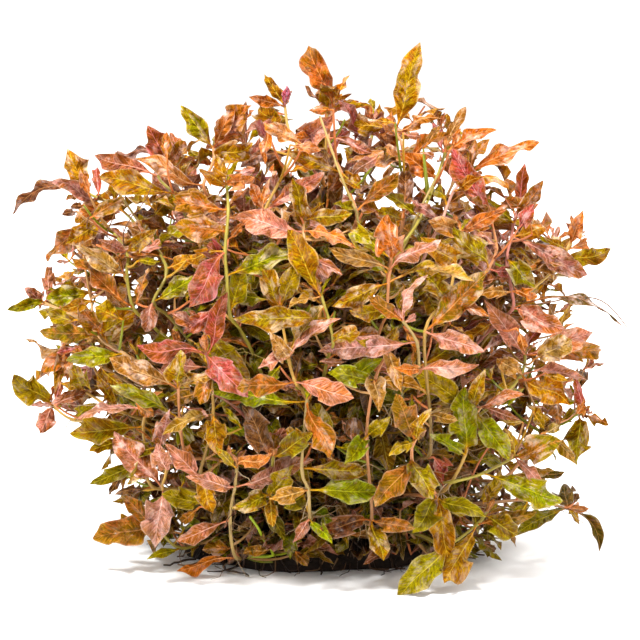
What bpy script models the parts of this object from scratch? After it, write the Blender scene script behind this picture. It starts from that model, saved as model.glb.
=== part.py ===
"""Brown hygrophila, a bushy aquarium plant: leafy shoots that rise from one clump of roots, cut off flat.

Lengths are in millimetres here and become metres where a mesh is made. +Z is up and -Y is the front. The
origin is the middle of the root clump's flat cut.
"""

import math
import random

import bmesh
import bpy
from mathutils import Matrix, Vector
from mathutils.bvhtree import BVHTree
from mathutils.geometry import intersect_ray_tri

MM = 0.001

# The root clump
CLUMP_HALF_WIDTH = 86.0
CLUMP_HALF_DEPTH = 56.0
CLUMP_HEIGHT = 25.0
CLUMP_LIP = 3.5
CLUMP_SEGMENTS = 24
CLUMP_RINGS = 6

# The stems
STEM_RADIUS_LOW = 1.5
STEM_RADIUS_HIGH = 0.9
NODE_LENGTH = 2.6
BUD_LENGTH = 5.0
TOUCH_GAP = 0.3
FOOT_SPACING = 9.0
FOOT_SPREAD = 0.5
FOOT_REACH = 0.88
FOOT_TRIES = 900
BACK_SPREAD = 1.15
STEM_STEP = 60.0
LOW_NODE_STEP = 54.0

# The leaves
LEAF_WIDTH = 13.0
LEAF_SLENDERNESS = 3.5
LEAF_THICKNESS = 1.3
BROAD_LEAF = 11.0
NARROWEST_LEAF = 5.0
LEAF_CLEARANCE = 0.5
ROOT_SPARE = 1.7
FLAT_FOLD = math.cos(math.radians(10.0))
GROUND_CLEARANCE = 0.3

# The shape of the whole bush
BUSH_HALF_WIDTH = 188.0
BUSH_HALF_DEPTH = 120.0
BUSH_MIDDLE = 165.0
BUSH_RISE = 150.0
BUSH_DROP = 190.0

# The front view that the places below are given in: u to the right and v up
VIEW_TILT = math.radians(9.0)
VIEW_DISTANCE = 1800.0
VIEW_AIM_HEIGHT = 141.0
VIEW_MIDDLE = 150.0

# The shoots of the back, which follow a rule
BACK_SEED = 41
NODE_SPACING = 17.0
BACK_SLENDERNESS = 2.7
LOWEST_NODE = 38.0

TONES = {
    "copper": (0.42, 0.16, 0.06),
    "mauve": (0.40, 0.18, 0.16),
    "olive": (0.26, 0.20, 0.04),
    "green": (0.28, 0.32, 0.03),
    "gold": (0.50, 0.28, 0.06),
    "crimson": (0.42, 0.08, 0.08),
    "pink": (0.66, 0.34, 0.28),
    "tan": (0.62, 0.38, 0.20),
    "orange": (0.70, 0.24, 0.08),
    "dark": (0.12, 0.05, 0.04),
}


def front_depth(u, v):
    """How far towards the viewer the bush's front face stands at a place of the front view."""
    reach = BUSH_RISE if v > BUSH_MIDDLE else BUSH_DROP
    rest = 1.0 - (u / BUSH_HALF_WIDTH) ** 2 - ((v - BUSH_MIDDLE) / reach) ** 2
    return BUSH_HALF_DEPTH * math.sqrt(max(0.0, rest))


def seen(u, v, y):
    """The point at depth y that the front view shows at u, v."""
    across = Vector((1.0, 0.0, 0.0))
    upward = Vector((0.0, math.sin(VIEW_TILT), math.cos(VIEW_TILT)))
    aim = Vector((0.0, 0.0, VIEW_AIM_HEIGHT))
    eye = aim + VIEW_DISTANCE * Vector((0.0, -math.cos(VIEW_TILT), math.sin(VIEW_TILT)))
    ray = aim + u * across + (v - VIEW_MIDDLE) * upward - eye
    return eye + ray * ((y - eye.y) / ray.y)


def shown(point):
    """Where the front view shows a point."""
    eye = Vector((0.0, -math.cos(VIEW_TILT), math.sin(VIEW_TILT))) * VIEW_DISTANCE
    reach = point - Vector((0.0, 0.0, VIEW_AIM_HEIGHT))
    scale = VIEW_DISTANCE / (VIEW_DISTANCE - reach.dot(eye) / VIEW_DISTANCE)
    upward = reach.z * math.cos(VIEW_TILT) + reach.y * math.sin(VIEW_TILT)
    return reach.x * scale, VIEW_MIDDLE + upward * scale


def leaf(u, v, width, tone, forward=4.0, bow=0.08):
    """A leaf by its tip and the width it shows in the front view. bow lifts its middle."""
    return {"tip": (u, v), "width": width, "tone": tone, "forward": forward, "bow": bow}


def node(u, v, near, *leaves):
    """A node of a stem. near is 1 at the bush's front face and 0 at its middle plane."""
    return {"place": seen(u, v, -near * front_depth(u, v)), "leaves": leaves}


# Every shoot that the front view shows, from its lowest node to its tip
FRONT_SHOOTS = {
    "left_crown_shoot": [
        node(-100, 161, 0.85, leaf(-73, 176, 10, "green"), leaf(-105, 143, 9, "pink")),
        node(-92, 181, 0.75, leaf(-76, 187, 8, "gold", 14)),
        node(-110, 207, 0.4, leaf(-82, 225, 10, "olive"), leaf(-96, 196, 6, "green")),
        node(-123, 219, 0.3, leaf(-147, 211, 13, "copper"), leaf(-121, 241, 8, "olive", 10)),
        node(-133, 223, 0.3, leaf(-159, 232, 8, "mauve", 22), leaf(-134, 243, 5, "crimson", -12)),
        node(-139, 226, 0.2, leaf(-186, 218, 6, "dark", 0, 0.22), leaf(-151, 251, 13, "gold", 8)),
    ],
    "left_crown_high_shoot": [
        node(-88, 226, 0.55, leaf(-132, 236, 13, "olive"), leaf(-68, 221, 9, "tan", 20)),
        node(-97, 236, 0.4, leaf(-136, 249, 11, "mauve", -12)),
        node(-90, 243, 0.35, leaf(-102, 264, 13, "crimson", 16), leaf(-80, 258, 9, "copper", 20),
             leaf(-132, 254, 7, "dark", -28)),
    ],
    "upper_left_shoot": [
        node(-70, 231, 0.55, leaf(-108, 246, 9, "tan", 12)),
        node(-64, 245, 0.45, leaf(-38, 257, 11, "olive", 14)),
        node(-64, 253, 0.3, leaf(-83, 278, 10, "green"), leaf(-40, 279, 15, "copper", 0),
             leaf(-54, 274, 8, "orange", 14)),
    ],
    "tall_green_stem_shoot": [
        node(-54, 153, 1.0, leaf(-46, 182, 12, "green", -16)),
        node(-56, 177, 1.0, leaf(-15, 192, 12, "green")),
        node(-57, 191, 1.0, leaf(-78, 159, 15, "crimson", 18), leaf(-82, 187, 7, "gold", -20)),
        node(-56, 203, 0.97, leaf(-86, 207, 14, "copper", 10)),
        node(-55, 216, 0.95, leaf(-89, 221, 13, "copper", -10)),
        node(-56, 231, 0.85, leaf(-73, 241, 8, "gold", 20), leaf(-62, 249, 6, "gold", 4),
             leaf(-38, 236, 8, "orange", 20)),
    ],
    "inner_crown_shoot": [
        node(-34, 214, 0.85, leaf(-42, 235, 6, "orange", 8), leaf(4, 238, 9, "mauve", 4)),
        node(-14, 254, 0.45, leaf(-48, 243, 7, "dark", 6), leaf(7, 272, 13, "pink", 20)),
        node(-19, 264, 0.3, leaf(-45, 262, 5, "mauve", 20), leaf(-38, 277, 12, "olive", -12)),
        node(-21, 278, 0.2, leaf(-33, 297, 6, "olive", 2), leaf(-43, 284, 6, "orange", 12),
             leaf(-17, 292, 5, "crimson", 10)),
    ],
    "middle_crown_shoot": [
        node(22, 215, 0.85, leaf(6, 219, 5, "green", 20), leaf(47, 238, 9, "copper", -8)),
        node(13, 238, 0.6, leaf(-20, 251, 8, "olive", 12), leaf(27, 226, 9, "olive", 22)),
        node(5, 259, 0.4, leaf(-19, 257, 6, "orange", 24), leaf(33, 249, 6, "mauve", 12)),
        node(8, 277, 0.2, leaf(-6, 313, 13, "copper"), leaf(17, 297, 4, "gold", 6),
             leaf(26, 282, 4, "olive", 10)),
    ],
    "right_crown_shoot": [
        node(50, 210, 0.75, leaf(52, 241, 9, "dark", -14), leaf(31, 217, 8, "olive", 22)),
        node(50, 251, 0.35, leaf(17, 249, 6, "dark", 16)),
        node(45, 263, 0.25, leaf(60, 316, 14, "olive", 0), leaf(70, 272, 6, "tan", 16),
             leaf(12, 270, 11, "gold", 2)),
    ],
    "slanting_stem_shoot": [
        node(51, 197, 0.95),
        node(60, 211, 0.85, leaf(38, 226, 5, "green", 6)),
        node(70, 235, 0.55, leaf(49, 250, 11, "orange", 10)),
        node(75, 250, 0.4, leaf(67, 270, 5, "crimson", -6), leaf(86, 279, 6, "tan", -4),
             leaf(103, 266, 6, "orange", 14)),
    ],
    "pale_stem_shoot": [
        node(73, 209, 0.85, leaf(56, 221, 6, "mauve", 12)),
        node(80, 227, 0.6, leaf(96, 236, 6, "gold", 22)),
        node(90, 238, 0.4, leaf(130, 259, 9, "orange", 4), leaf(113, 230, 5, "gold", 18),
             leaf(93, 258, 5, "copper", -12)),
    ],
    "upper_right_shoot": [
        node(101, 181, 0.8, leaf(85, 201, 15, "olive", 26), leaf(113, 178, 6, "crimson", -20)),
        node(106, 193, 0.65, leaf(93, 201, 5, "pink", 24)),
        node(103, 208, 0.5, leaf(79, 253, 13, "crimson", 0), leaf(87, 205, 7, "orange", 26),
             leaf(113, 221, 5, "copper", -16)),
    ],
    "right_red_stem_shoot": [
        node(116, 157, 0.75, leaf(141, 147, 13, "mauve", 22), leaf(184, 146, 5, "dark", -12, 0.2)),
        node(115, 167, 0.7, leaf(134, 164, 6, "orange", 22), leaf(100, 167, 6, "tan", 24)),
        node(112, 186, 0.6, leaf(127, 172, 11, "green", 20)),
        node(115, 200, 0.45, leaf(161, 177, 12, "copper", 4), leaf(137, 206, 10, "gold", -18)),
        node(116, 208, 0.4, leaf(134, 234, 8, "copper", 14), leaf(104, 220, 6, "green", 16)),
        node(118, 214, 0.3, leaf(123, 244, 7, "crimson", -4)),
    ],
    "far_right_shoot": [
        node(129, 170, 0.55),
        node(144, 183, 0.35, leaf(172, 192, 10, "olive", 12), leaf(126, 184, 9, "tan", 26)),
        node(148, 192, 0.3, leaf(136, 199, 5, "gold", 14), leaf(163, 197, 6, "orange", -14)),
        node(150, 196, 0.28, leaf(157, 213, 8, "orange", 12)),
    ],
    "left_green_stem_shoot": [
        node(-112, 157, 0.75, leaf(-153, 186, 9, "copper", 4)),
        node(-116, 177, 0.75, leaf(-144, 193, 10, "tan", 16)),
        node(-116, 191, 0.65, leaf(-135, 199, 7, "pink", 24), leaf(-97, 205, 8, "gold", 20),
             leaf(-80, 192, 5, "pink", 6)),
        node(-130, 209, 0.4, leaf(-152, 196, 12, "olive", 22)),
        node(-136, 214, 0.3, leaf(-164, 185, 10, "copper", 2)),
    ],
    "far_left_shoot": [
        node(-146, 152, 0.45),
        node(-165, 160, 0.2, leaf(-184, 158, 6, "green", 24), leaf(-177, 169, 7, "mauve", 10),
             leaf(-161, 184, 7, "mauve", -14)),
    ],
    "left_rosette_shoot": [
        node(-118, 130, 0.85, leaf(-151, 126, 10, "green", 8)),
        node(-133, 141, 0.65, leaf(-168, 143, 10, "copper", 6, 0.16), leaf(-112, 154, 14, "olive", 16),
             leaf(-143, 163, 11, "copper", 24)),
        node(-138, 166, 0.45, leaf(-164, 163, 11, "green", 8), leaf(-121, 171, 8, "mauve", -16)),
    ],
    "left_drooping_shoot": [
        node(-131, 122, 0.6, leaf(-118, 107, 6, "olive", 20)),
        node(-150, 131, 0.35, leaf(-169, 117, 10, "copper", 14, 0.3), leaf(-158, 111, 9, "copper", 26)),
    ],
    "left_forked_shoot": [
        node(-125, 97, 0.75, leaf(-133, 117, 5, "olive", 16)),
        node(-142, 108, 0.45, leaf(-148, 124, 11, "olive", 24), leaf(-161, 100, 6, "mauve", 10)),
    ],
    "round_leaf_shoot": [
        node(-128, 90, 0.55),
        node(-148, 90, 0.3, leaf(-136, 99, 6, "green", 22)),
        node(-160, 98, 0.1, leaf(-185, 119, 14, "olive", 12), leaf(-168, 83, 11, "mauve", 22),
             leaf(-154, 116, 5, "crimson", -16)),
    ],
    "lower_left_shoot": [
        node(-101, 50, 0.95, leaf(-122, 46, 5, "dark", 14)),
        node(-104, 66, 0.9, leaf(-117, 50, 8, "tan", 22), leaf(-139, 51, 8, "olive", 2)),
        node(-106, 86, 0.85, leaf(-150, 82, 13, "olive", 4), leaf(-92, 76, 8, "olive", -24)),
        node(-104, 97, 0.85, leaf(-146, 91, 5, "pink", 14), leaf(-119, 113, 6, "olive", -20)),
    ],
    "low_pink_shoot": [
        node(-94, 48, 1.1, leaf(-99, 17, 16, "pink", 20), leaf(-123, 82, 15, "mauve", 8)),
        node(-92, 60, 1.1, leaf(-97, 72, 10, "pink", 32)),
        node(-96, 74, 1.05, leaf(-90, 97, 9, "pink", 22), leaf(-116, 70, 8, "olive", -18)),
    ],
    "lowest_left_shoot": [
        node(-84, 13, 1.0, leaf(-101, 8, 5, "green", 18)),
        node(-99, 27, 0.95, leaf(-134, 19, 15, "copper", 14), leaf(-117, 42, 9, "copper", 18),
             leaf(-125, 29, 5, "olive", -14)),
    ],
    "front_pale_stem_shoot": [
        node(-50, 7, 1.15, leaf(-86, -1, 6, "orange", 6)),
        node(-54, 30, 1.15, leaf(-87, 17, 9, "mauve", 10)),
        node(-51, 50, 1.15, leaf(-77, 55, 8, "pink", 22, 0.16), leaf(-4, 66, 10, "pink", 2)),
        node(-50, 61, 1.1, leaf(-30, 70, 7, "orange", 24), leaf(-61, 72, 5, "gold", 14)),
    ],
    "middle_left_shoot": [
        node(-80, 69, 1.0),
        node(-84, 90, 1.0, leaf(-124, 113, 8, "green", 4)),
        node(-85, 109, 1.0, leaf(-84, 129, 13, "olive", 24), leaf(-126, 127, 12, "tan", 10),
             leaf(-71, 117, 6, "tan", 26)),
    ],
    "crimson_shoot": [
        node(-67, 108, 0.9, leaf(-92, 101, 8, "copper", -22)),
        node(-66, 120, 1.0, leaf(-72, 100, 9, "crimson", 22)),
        node(-68, 129, 1.0, leaf(-57, 163, 10, "crimson", 16), leaf(-110, 135, 11, "crimson", 6),
             leaf(-48, 108, 11, "orange", 24)),
    ],
    "ochre_shoot": [
        node(-68, 40, 1.0, leaf(-90, 44, 11, "olive", 22)),
        node(-72, 57, 1.05, leaf(-64, 34, 10, "gold", 22), leaf(-87, 69, 10, "pink", 26)),
        node(-64, 93, 0.9, leaf(-61, 70, 11, "gold", 24), leaf(-92, 86, 6, "tan", 24)),
        node(-69, 143, 0.85, leaf(-43, 112, 14, "olive", 18), leaf(-86, 152, 8, "mauve", 20)),
    ],
    "front_middle_shoot": [
        node(-6, 31, 1.2, leaf(6, 17, 6, "green", 20), leaf(-15, 18, 6, "mauve", 16)),
        node(-7, 48, 1.2, leaf(-28, 43, 9, "tan", 26), leaf(35, 47, 12, "green", 2)),
        node(-11, 61, 1.15, leaf(32, 59, 10, "olive", -6)),
        node(-8, 101, 1.05, leaf(-67, 107, 9, "green", 2, 0.0), leaf(6, 67, 12, "mauve", 14)),
    ],
    "low_middle_shoot": [
        node(-30, 45, 1.0, leaf(-49, 38, 10, "olive", 24), leaf(-18, 60, 11, "olive", 24),
             leaf(-28, 23, 7, "gold", 24)),
        node(-28, 68, 1.05, leaf(-47, 99, 13, "mauve", 14), leaf(-3, 83, 11, "olive", 20)),
    ],
    "cream_leaf_shoot": [
        node(-15, 113, 1.1, leaf(17, 104, 13, "pink", 20), leaf(-50, 109, 11, "copper", 6)),
        node(-19, 127, 1.05, leaf(-38, 120, 6, "pink", 26), leaf(-27, 138, 9, "tan", 30),
             leaf(3, 159, 6, "tan", 4), leaf(10, 152, 6, "pink", 16)),
        node(-24, 158, 0.95, leaf(-35, 182, 10, "olive", 18), leaf(-13, 184, 10, "olive", 16)),
    ],
    "long_leaf_shoot": [
        node(8, 137, 1.05, leaf(24, 146, 9, "olive", 24)),
        node(5, 151, 1.05, leaf(-53, 151, 12, "green", 0)),
        node(1, 164, 1.0, leaf(-20, 205, 13, "olive", 4), leaf(-20, 155, 5, "tan", 26)),
    ],
    "upper_middle_shoot": [
        node(-6, 187, 0.95, leaf(8, 180, 7, "mauve", 24)),
        node(-10, 203, 0.9, leaf(18, 199, 6, "orange", 24), leaf(-50, 211, 13, "pink", 4)),
        node(-9, 210, 0.85, leaf(22, 214, 9, "olive", 16), leaf(-16, 234, 9, "olive", 12)),
    ],
    "orange_leaf_shoot": [
        node(40, 154, 0.97, leaf(16, 156, 9, "olive", 22)),
        node(41, 172, 1.0, leaf(7, 158, 10, "olive", 14), leaf(92, 178, 6, "tan", 6, 0.14)),
        node(42, 180, 1.0, leaf(10, 192, 8, "tan", 12), leaf(69, 199, 7, "pink", 22)),
        node(43, 187, 0.95, leaf(41, 211, 14, "orange", 16), leaf(22, 204, 8, "green", -14)),
    ],
    "mauve_leaf_shoot": [
        node(59, 120, 1.05, leaf(94, 123, 9, "pink", 8, 0.26), leaf(49, 121, 6, "orange", 24)),
        node(58, 137, 1.1, leaf(-1, 131, 12, "pink", 2)),
        node(50, 149, 1.1, leaf(27, 166, 7, "copper", 16), leaf(63, 177, 5, "pink", 16, 0.2)),
    ],
    "copper_leaf_shoot": [
        node(66, 70, 0.95),
        node(66, 93, 0.95, leaf(82, 90, 6, "tan", 24)),
        node(63, 143, 1.05, leaf(101, 179, 14, "copper", 2), leaf(98, 131, 10, "pink", 16)),
        node(77, 164, 0.95, leaf(60, 178, 12, "olive", 26), leaf(96, 155, 8, "orange", 20)),
        node(81, 184, 0.9, leaf(66, 196, 12, "gold", 28)),
        node(84, 203, 0.8, leaf(67, 209, 9, "tan", 28), leaf(105, 213, 7, "orange", 22)),
    ],
    "peach_leaf_shoot": [
        node(70, 44, 1.1, leaf(57, 24, 13, "olive", 24), leaf(77, 9, 13, "gold", 20),
             leaf(96, 33, 9, "olive", 20)),
        node(55, 66, 1.12, leaf(32, 37, 13, "tan", 18), leaf(66, 46, 13, "gold", 28)),
        node(57, 78, 1.1, leaf(44, 109, 13, "copper", 18), leaf(43, 70, 6, "gold", 26),
             leaf(62, 92, 6, "gold", 26)),
    ],
    "green_leaf_shoot": [
        node(75, 48, 1.05, leaf(69, 67, 9, "crimson", -24)),
        node(87, 69, 1.05, leaf(87, 109, 14, "green", 12), leaf(70, 80, 7, "green", 24)),
        node(92, 97, 0.95, leaf(114, 65, 12, "green", 18), leaf(58, 118, 12, "olive", 14),
             leaf(123, 105, 6, "mauve", 18), leaf(97, 118, 7, "gold", 26)),
    ],
    "lower_right_shoot": [
        node(80, 53, 1.15),
        node(98, 58, 1.15, leaf(146, 41, 14, "green", 6, 0.14)),
        node(117, 68, 1.0, leaf(142, 76, 14, "copper", 20), leaf(132, 51, 6, "pink", 26),
             leaf(113, 83, 6, "gold", 24)),
    ],
    "lowest_right_shoot": [
        node(76, 15, 1.75, leaf(49, -16, 15, "olive", 24)),
        node(94, 27, 1.4, leaf(71, -12, 16, "gold", 30), leaf(130, 35, 8, "copper", 2)),
        node(99, 33, 1.3, leaf(118, 21, 14, "olive", 16)),
    ],
    "centre_shoot": [
        node(31, 30, 1.15, leaf(-3, 25, 11, "dark", 16), leaf(55, 25, 8, "copper", 22),
             leaf(38, 6, 10, "olive", 16)),
        node(28, 80, 1.0, leaf(17, 66, 9, "green", 24), leaf(42, 92, 8, "olive", 24)),
        node(33, 114, 1.02, leaf(7, 118, 10, "green", 20), leaf(35, 99, 10, "tan", 26),
             leaf(61, 110, 6, "tan", 20)),
        node(41, 131, 0.95, leaf(47, 113, 8, "tan", 26), leaf(21, 139, 6, "copper", 20)),
    ],
    "wilted_shoot": [
        node(98, 40, 0.85, leaf(106, 53, 8, "gold", 24)),
        node(125, 42, 0.7, leaf(113, 25, 8, "olive", 20)),
        node(148, 37, 0.5, leaf(146, 53, 12, "dark", 20), leaf(168, 5, 5, "dark", 10, 0.26),
             leaf(116, 20, 8, "olive", 26)),
    ],
    "right_diamond_shoot": [
        node(112, 56, 0.75, leaf(141, 59, 6, "tan", 18)),
        node(134, 82, 0.5, leaf(153, 67, 6, "tan", 26), leaf(127, 98, 6, "gold", 24)),
        node(155, 94, 0.2, leaf(155, 66, 14, "olive", 24), leaf(156, 114, 5, "crimson", 14),
             leaf(174, 86, 5, "copper", 20)),
    ],
    "right_rosette_shoot": [
        node(106, 101, 0.8, leaf(124, 110, 7, "green", 24)),
        node(121, 117, 0.7, leaf(151, 98, 14, "gold", 16), leaf(159, 117, 5, "pink", 14),
             leaf(106, 127, 9, "tan", 26)),
        node(123, 129, 0.65, leaf(163, 142, 14, "pink", 8), leaf(173, 132, 10, "copper", -16),
             leaf(103, 157, 11, "pink", 18), leaf(130, 148, 6, "crimson", -22)),
    ],
}

# The tips of the shoots of the back, the sides and the middle, which the front view hides
BACK_TIPS = {
    "low_back_shoot": [
        (124, 34, 86), (98, 78, 66), (40, 104, 88), (-28, 106, 70), (-88, 84, 82), (-118, 36, 68),
    ],
    "middle_back_shoot": [
        (136, 26, 165), (96, 78, 176), (36, 104, 172), (-42, 102, 180), (-100, 74, 168), (-136, 22, 172),
    ],
    "high_back_shoot": [
        (84, 22, 228), (32, 62, 246), (-46, 56, 240), (-84, 12, 228),
    ],
    "top_back_shoot": [
        (4, 12, 262),
    ],
}

# The bush's outline in the front view, a little inside the tips of its outer leaves
OUTLINE = [
    (-176, 120), (-173, 150), (-162, 186), (-150, 212), (-134, 240), (-96, 256), (-78, 270), (-45, 276),
    (-30, 288), (2, 302), (28, 284), (60, 296), (86, 270), (112, 256), (131, 238), (136, 208), (158, 194),
    (158, 172), (154, 150), (164, 136), (156, 112), (164, 92), (150, 68), (144, 46), (128, 24), (112, 4),
    (-102, 4), (-130, 20), (-126, 50), (-146, 70), (-152, 90), (-168, 100),
]


def clump_radius(angle):
    """The clump's outline, as a share of its half width and half depth."""
    return 1.0 + 0.05 * math.sin(3.0 * angle + 0.6) + 0.04 * math.sin(7.0 * angle + 2.0)


def clump_height(share, angle):
    """The clump's height where share is 0 in its middle and 1 at its edge."""
    dome = math.sqrt(max(0.0, 1.0 - share ** 2.4))
    lumps = math.sin(5.0 * angle + 9.0 * share) * math.sin(8.0 * share + 1.3)
    return CLUMP_LIP + (CLUMP_HEIGHT - CLUMP_LIP) * dome * (1.0 + 0.13 * lumps)


def clump_solid():
    """The root clump: rings of points from the top down to the flat cut."""
    verts = [Vector((0.0, 0.0, CLUMP_HEIGHT))]
    for ring in range(1, CLUMP_RINGS + 1):
        share = math.sin(0.5 * math.pi * ring / CLUMP_RINGS)
        for step in range(CLUMP_SEGMENTS):
            angle = 2.0 * math.pi * (step + 0.5 * (ring % 2)) / CLUMP_SEGMENTS
            reach = share * clump_radius(angle)
            verts.append(Vector((
                CLUMP_HALF_WIDTH * reach * math.cos(angle),
                CLUMP_HALF_DEPTH * reach * math.sin(angle),
                clump_height(share, angle),
            )))
    edge = verts[-CLUMP_SEGMENTS:]
    verts += [Vector((0.985 * point.x, 0.985 * point.y, 0.0)) for point in edge]
    faces = [(0, 1 + step, 1 + (step + 1) % CLUMP_SEGMENTS) for step in range(CLUMP_SEGMENTS)]
    for ring in range(CLUMP_RINGS):
        first = 1 + ring * CLUMP_SEGMENTS
        odd = ring % 2 == 0 and ring < CLUMP_RINGS - 1
        for step in range(CLUMP_SEGMENTS):
            following = (step + 1) % CLUMP_SEGMENTS
            here, beside = first + step, first + following
            below, below_beside = here + CLUMP_SEGMENTS, beside + CLUMP_SEGMENTS
            if odd:
                faces += [(here, below_beside, beside), (here, below, below_beside)]
            else:
                faces += [(here, below, beside), (beside, below, below_beside)]
    base = len(verts) - CLUMP_SEGMENTS
    faces.append(tuple(base + step for step in reversed(range(CLUMP_SEGMENTS))))
    return verts, faces


def across_frame(direction, towards):
    """Two unit vectors across a direction, the first as near to the vector towards as it can be."""
    first = towards - direction * towards.dot(direction)
    if first.length < 1e-4:
        first = direction.orthogonal()
    first.normalize()
    return first, direction.cross(first)


def bend(start, middle, end, share):
    """A point on the curve from start to end that middle pulls."""
    rest = 1.0 - share
    return rest * rest * start + 2.0 * rest * share * middle + share * share * end


class Shoot:
    """One stem with its leaves, as one closed mesh. Its sides are three, and a leaf grows from a side."""

    def __init__(self, name, foot, nodes):
        self.name = name
        self.nodes = nodes
        self.verts = []
        self.faces = []
        self.tones = []
        self.spots = []
        places = [foot] + [item["place"] for item in nodes]
        self.route = [foot]
        for below, above in zip(places, places[1:]):
            pieces = max(1, round((above - below).length / STEM_STEP))
            for piece in range(1, pieces + 1):
                self.route.append(below.lerp(above, piece / pieces))
        self.build_stem(places)

    def build_stem(self, places):
        reference = Vector((0.0, -1.0, 0.0))
        last = len(self.route) - 1
        for index, place in enumerate(self.route):
            before = self.route[max(0, index - 1)]
            after = self.route[min(last, index + 1)]
            direction = (after - before).normalized()
            if index == 0:
                direction = Vector((0.0, 0.0, 1.0))
            share = index / last
            radius = STEM_RADIUS_LOW + (STEM_RADIUS_HIGH - STEM_RADIUS_LOW) * share
            number = next((n for n, point in enumerate(places[1:]) if point is place or point == place), None)
            if number is None or index == 0:
                self.add_ring(place, direction, reference, radius)
                continue
            self.add_ring(place - direction * NODE_LENGTH / 2.0, direction, reference, radius * 1.15)
            self.add_ring(place + direction * NODE_LENGTH / 2.0, direction, reference, radius * 1.15)
            self.spots.append((number, len(self.verts) - 6))
            reference = self.verts[-3] - place
            reference = reference - direction * reference.dot(direction)
        self.direction = direction
        self.verts.append(self.route[-1] + direction * (NODE_LENGTH / 2.0 + BUD_LENGTH))
        tip = len(self.verts) - 1
        ring = tip - 3
        for side in range(3):
            self.faces.append((ring + side, ring + (side + 1) % 3, tip))
        self.faces.append((2, 1, 0))

    def add_ring(self, place, direction, reference, radius):
        out, across = across_frame(direction, reference)
        first = len(self.verts)
        for side in range(3):
            angle = 2.0 * math.pi * side / 3.0
            self.verts.append(place + radius * (math.cos(angle) * out + math.sin(angle) * across))
        if first == 0:
            return
        below = first - 3
        for side in range(3):
            other = (side + 1) % 3
            self.faces.append((below + side, below + other, first + other))
            self.faces.append((below + side, first + other, first + side))

    def free_triangles(self, first, direction):
        """The node's side triangles that no leaf has taken, best turned to a direction first."""
        found = []
        for face in self.faces:
            if not all(first <= corner < first + 6 for corner in face):
                continue
            a, b, c = (self.verts[corner] for corner in face)
            normal = (b - a).cross(c - a).normalized()
            level = sum(corner >= first + 3 for corner in face)
            if 0 < level < 3:
                found.append((normal.dot(direction), face))
        return [face for turn, face in sorted(found, reverse=True) if turn > -0.2]


def leaf_rings(form, spare=0.0):
    """The leaf's cross sections as (middle, half width, thickness). A broad leaf has two, others one."""
    if form["width"] >= BROAD_LEAF and not form["plain"]:
        shares = ((0.34, 0.94), (0.70, 0.80))
    else:
        shares = ((0.48, 1.06),)
    rings = []
    for share, fullness in shares:
        middle = bend(form["base"], form["pull"], form["tip"], share)
        rings.append((middle, form["width"] * fullness / 2.0 + spare, LEAF_THICKNESS + spare))
    return rings


def leaf_form(base, tip, width, normal, bow, tone, plain=False):
    """A leaf's curve and its frame: along it, across it and out of its upper face."""
    along = (tip - base).normalized()
    up, _ = across_frame(along, normal)
    pull = (base + tip) / 2.0 + up * bow * 2.0 * (tip - base).length
    return {
        "base": base, "tip": tip, "width": width, "up": up, "across": along.cross(up),
        "pull": pull, "tone": tone, "plain": plain, "bow": bow,
    }


def leaf_solid(form, corners):
    """The leaf's own points and faces. corners are the three stem points that it grows from."""
    points = []
    for middle, half, thickness in leaf_rings(form):
        points += [
            middle - form["across"] * half,
            middle + form["across"] * half,
            middle - form["up"] * thickness,
        ]
    points.append(form["tip"])
    centre = sum(corners, Vector()) / 3.0
    first = points[:3]
    middle = sum(first, Vector()) / 3.0

    def match(turn):
        return sum(
            (corners[side] - centre).normalized().dot((first[(side + turn) % 3] - middle).normalized())
            for side in range(3)
        )

    return points, max(range(3), key=match)


def leaf_faces(corner_numbers, first, count, turn):
    """Faces from the stem's three corners, ring by ring, to the tip."""
    faces = []
    below = list(corner_numbers)
    for ring in range(count):
        here = [first + 3 * ring + side for side in range(3)]
        if ring == 0:
            here = [here[(side + turn) % 3] for side in range(3)]
        for side in range(3):
            other = (side + 1) % 3
            faces.append((below[side], below[other], here[other]))
            faces.append((below[side], here[other], here[side]))
        below = here
    tip = first + 3 * count
    for side in range(3):
        faces.append((below[side], below[(side + 1) % 3], tip))
    return faces


def leaf_envelope(form):
    """A slightly fatter leaf, to keep clear of the others."""
    along = (form["tip"] - form["base"]).normalized()
    verts = []
    for side in (-ROOT_SPARE, ROOT_SPARE):
        verts.append(form["base"] + form["across"] * side)
        verts.append(form["base"] + form["up"] * side)
    for middle, half, thickness in leaf_rings(form, LEAF_CLEARANCE):
        verts += [
            middle - form["across"] * half,
            middle - form["up"] * thickness,
            middle + form["across"] * half,
            middle + form["up"] * LEAF_CLEARANCE,
        ]
    verts.append(form["tip"] + along * LEAF_CLEARANCE)
    rings = (len(verts) - 1) // 4
    faces = []
    for ring in range(rings - 1):
        for side in range(4):
            here, beside = 4 * ring + side, 4 * ring + (side + 1) % 4
            faces.append((here, beside, beside + 4, here + 4))
    last = 4 * (rings - 1)
    for side in range(4):
        faces.append((last + side, last + (side + 1) % 4, len(verts) - 1))
    return verts, faces


class Thicket:
    """Everything placed so far, with a box and a search tree for each piece."""

    def __init__(self):
        self.pieces = []

    def add(self, owner, verts, faces):
        low, high = box_of(verts)
        self.pieces.append((owner, low, high, BVHTree.FromPolygons(verts, faces)))

    def meets(self, verts, faces, skip=None):
        low, high = box_of(verts)
        tree = None
        for owner, other_low, other_high, other in self.pieces:
            if owner == skip:
                continue
            if any(low[i] > other_high[i] or high[i] < other_low[i] for i in range(3)):
                continue
            tree = tree or BVHTree.FromPolygons(verts, faces)
            if tree.overlap(other):
                return True
        return False


def box_of(verts):
    low = [min(point[i] for point in verts) for i in range(3)]
    high = [max(point[i] for point in verts) for i in range(3)]
    return low, high


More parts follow.
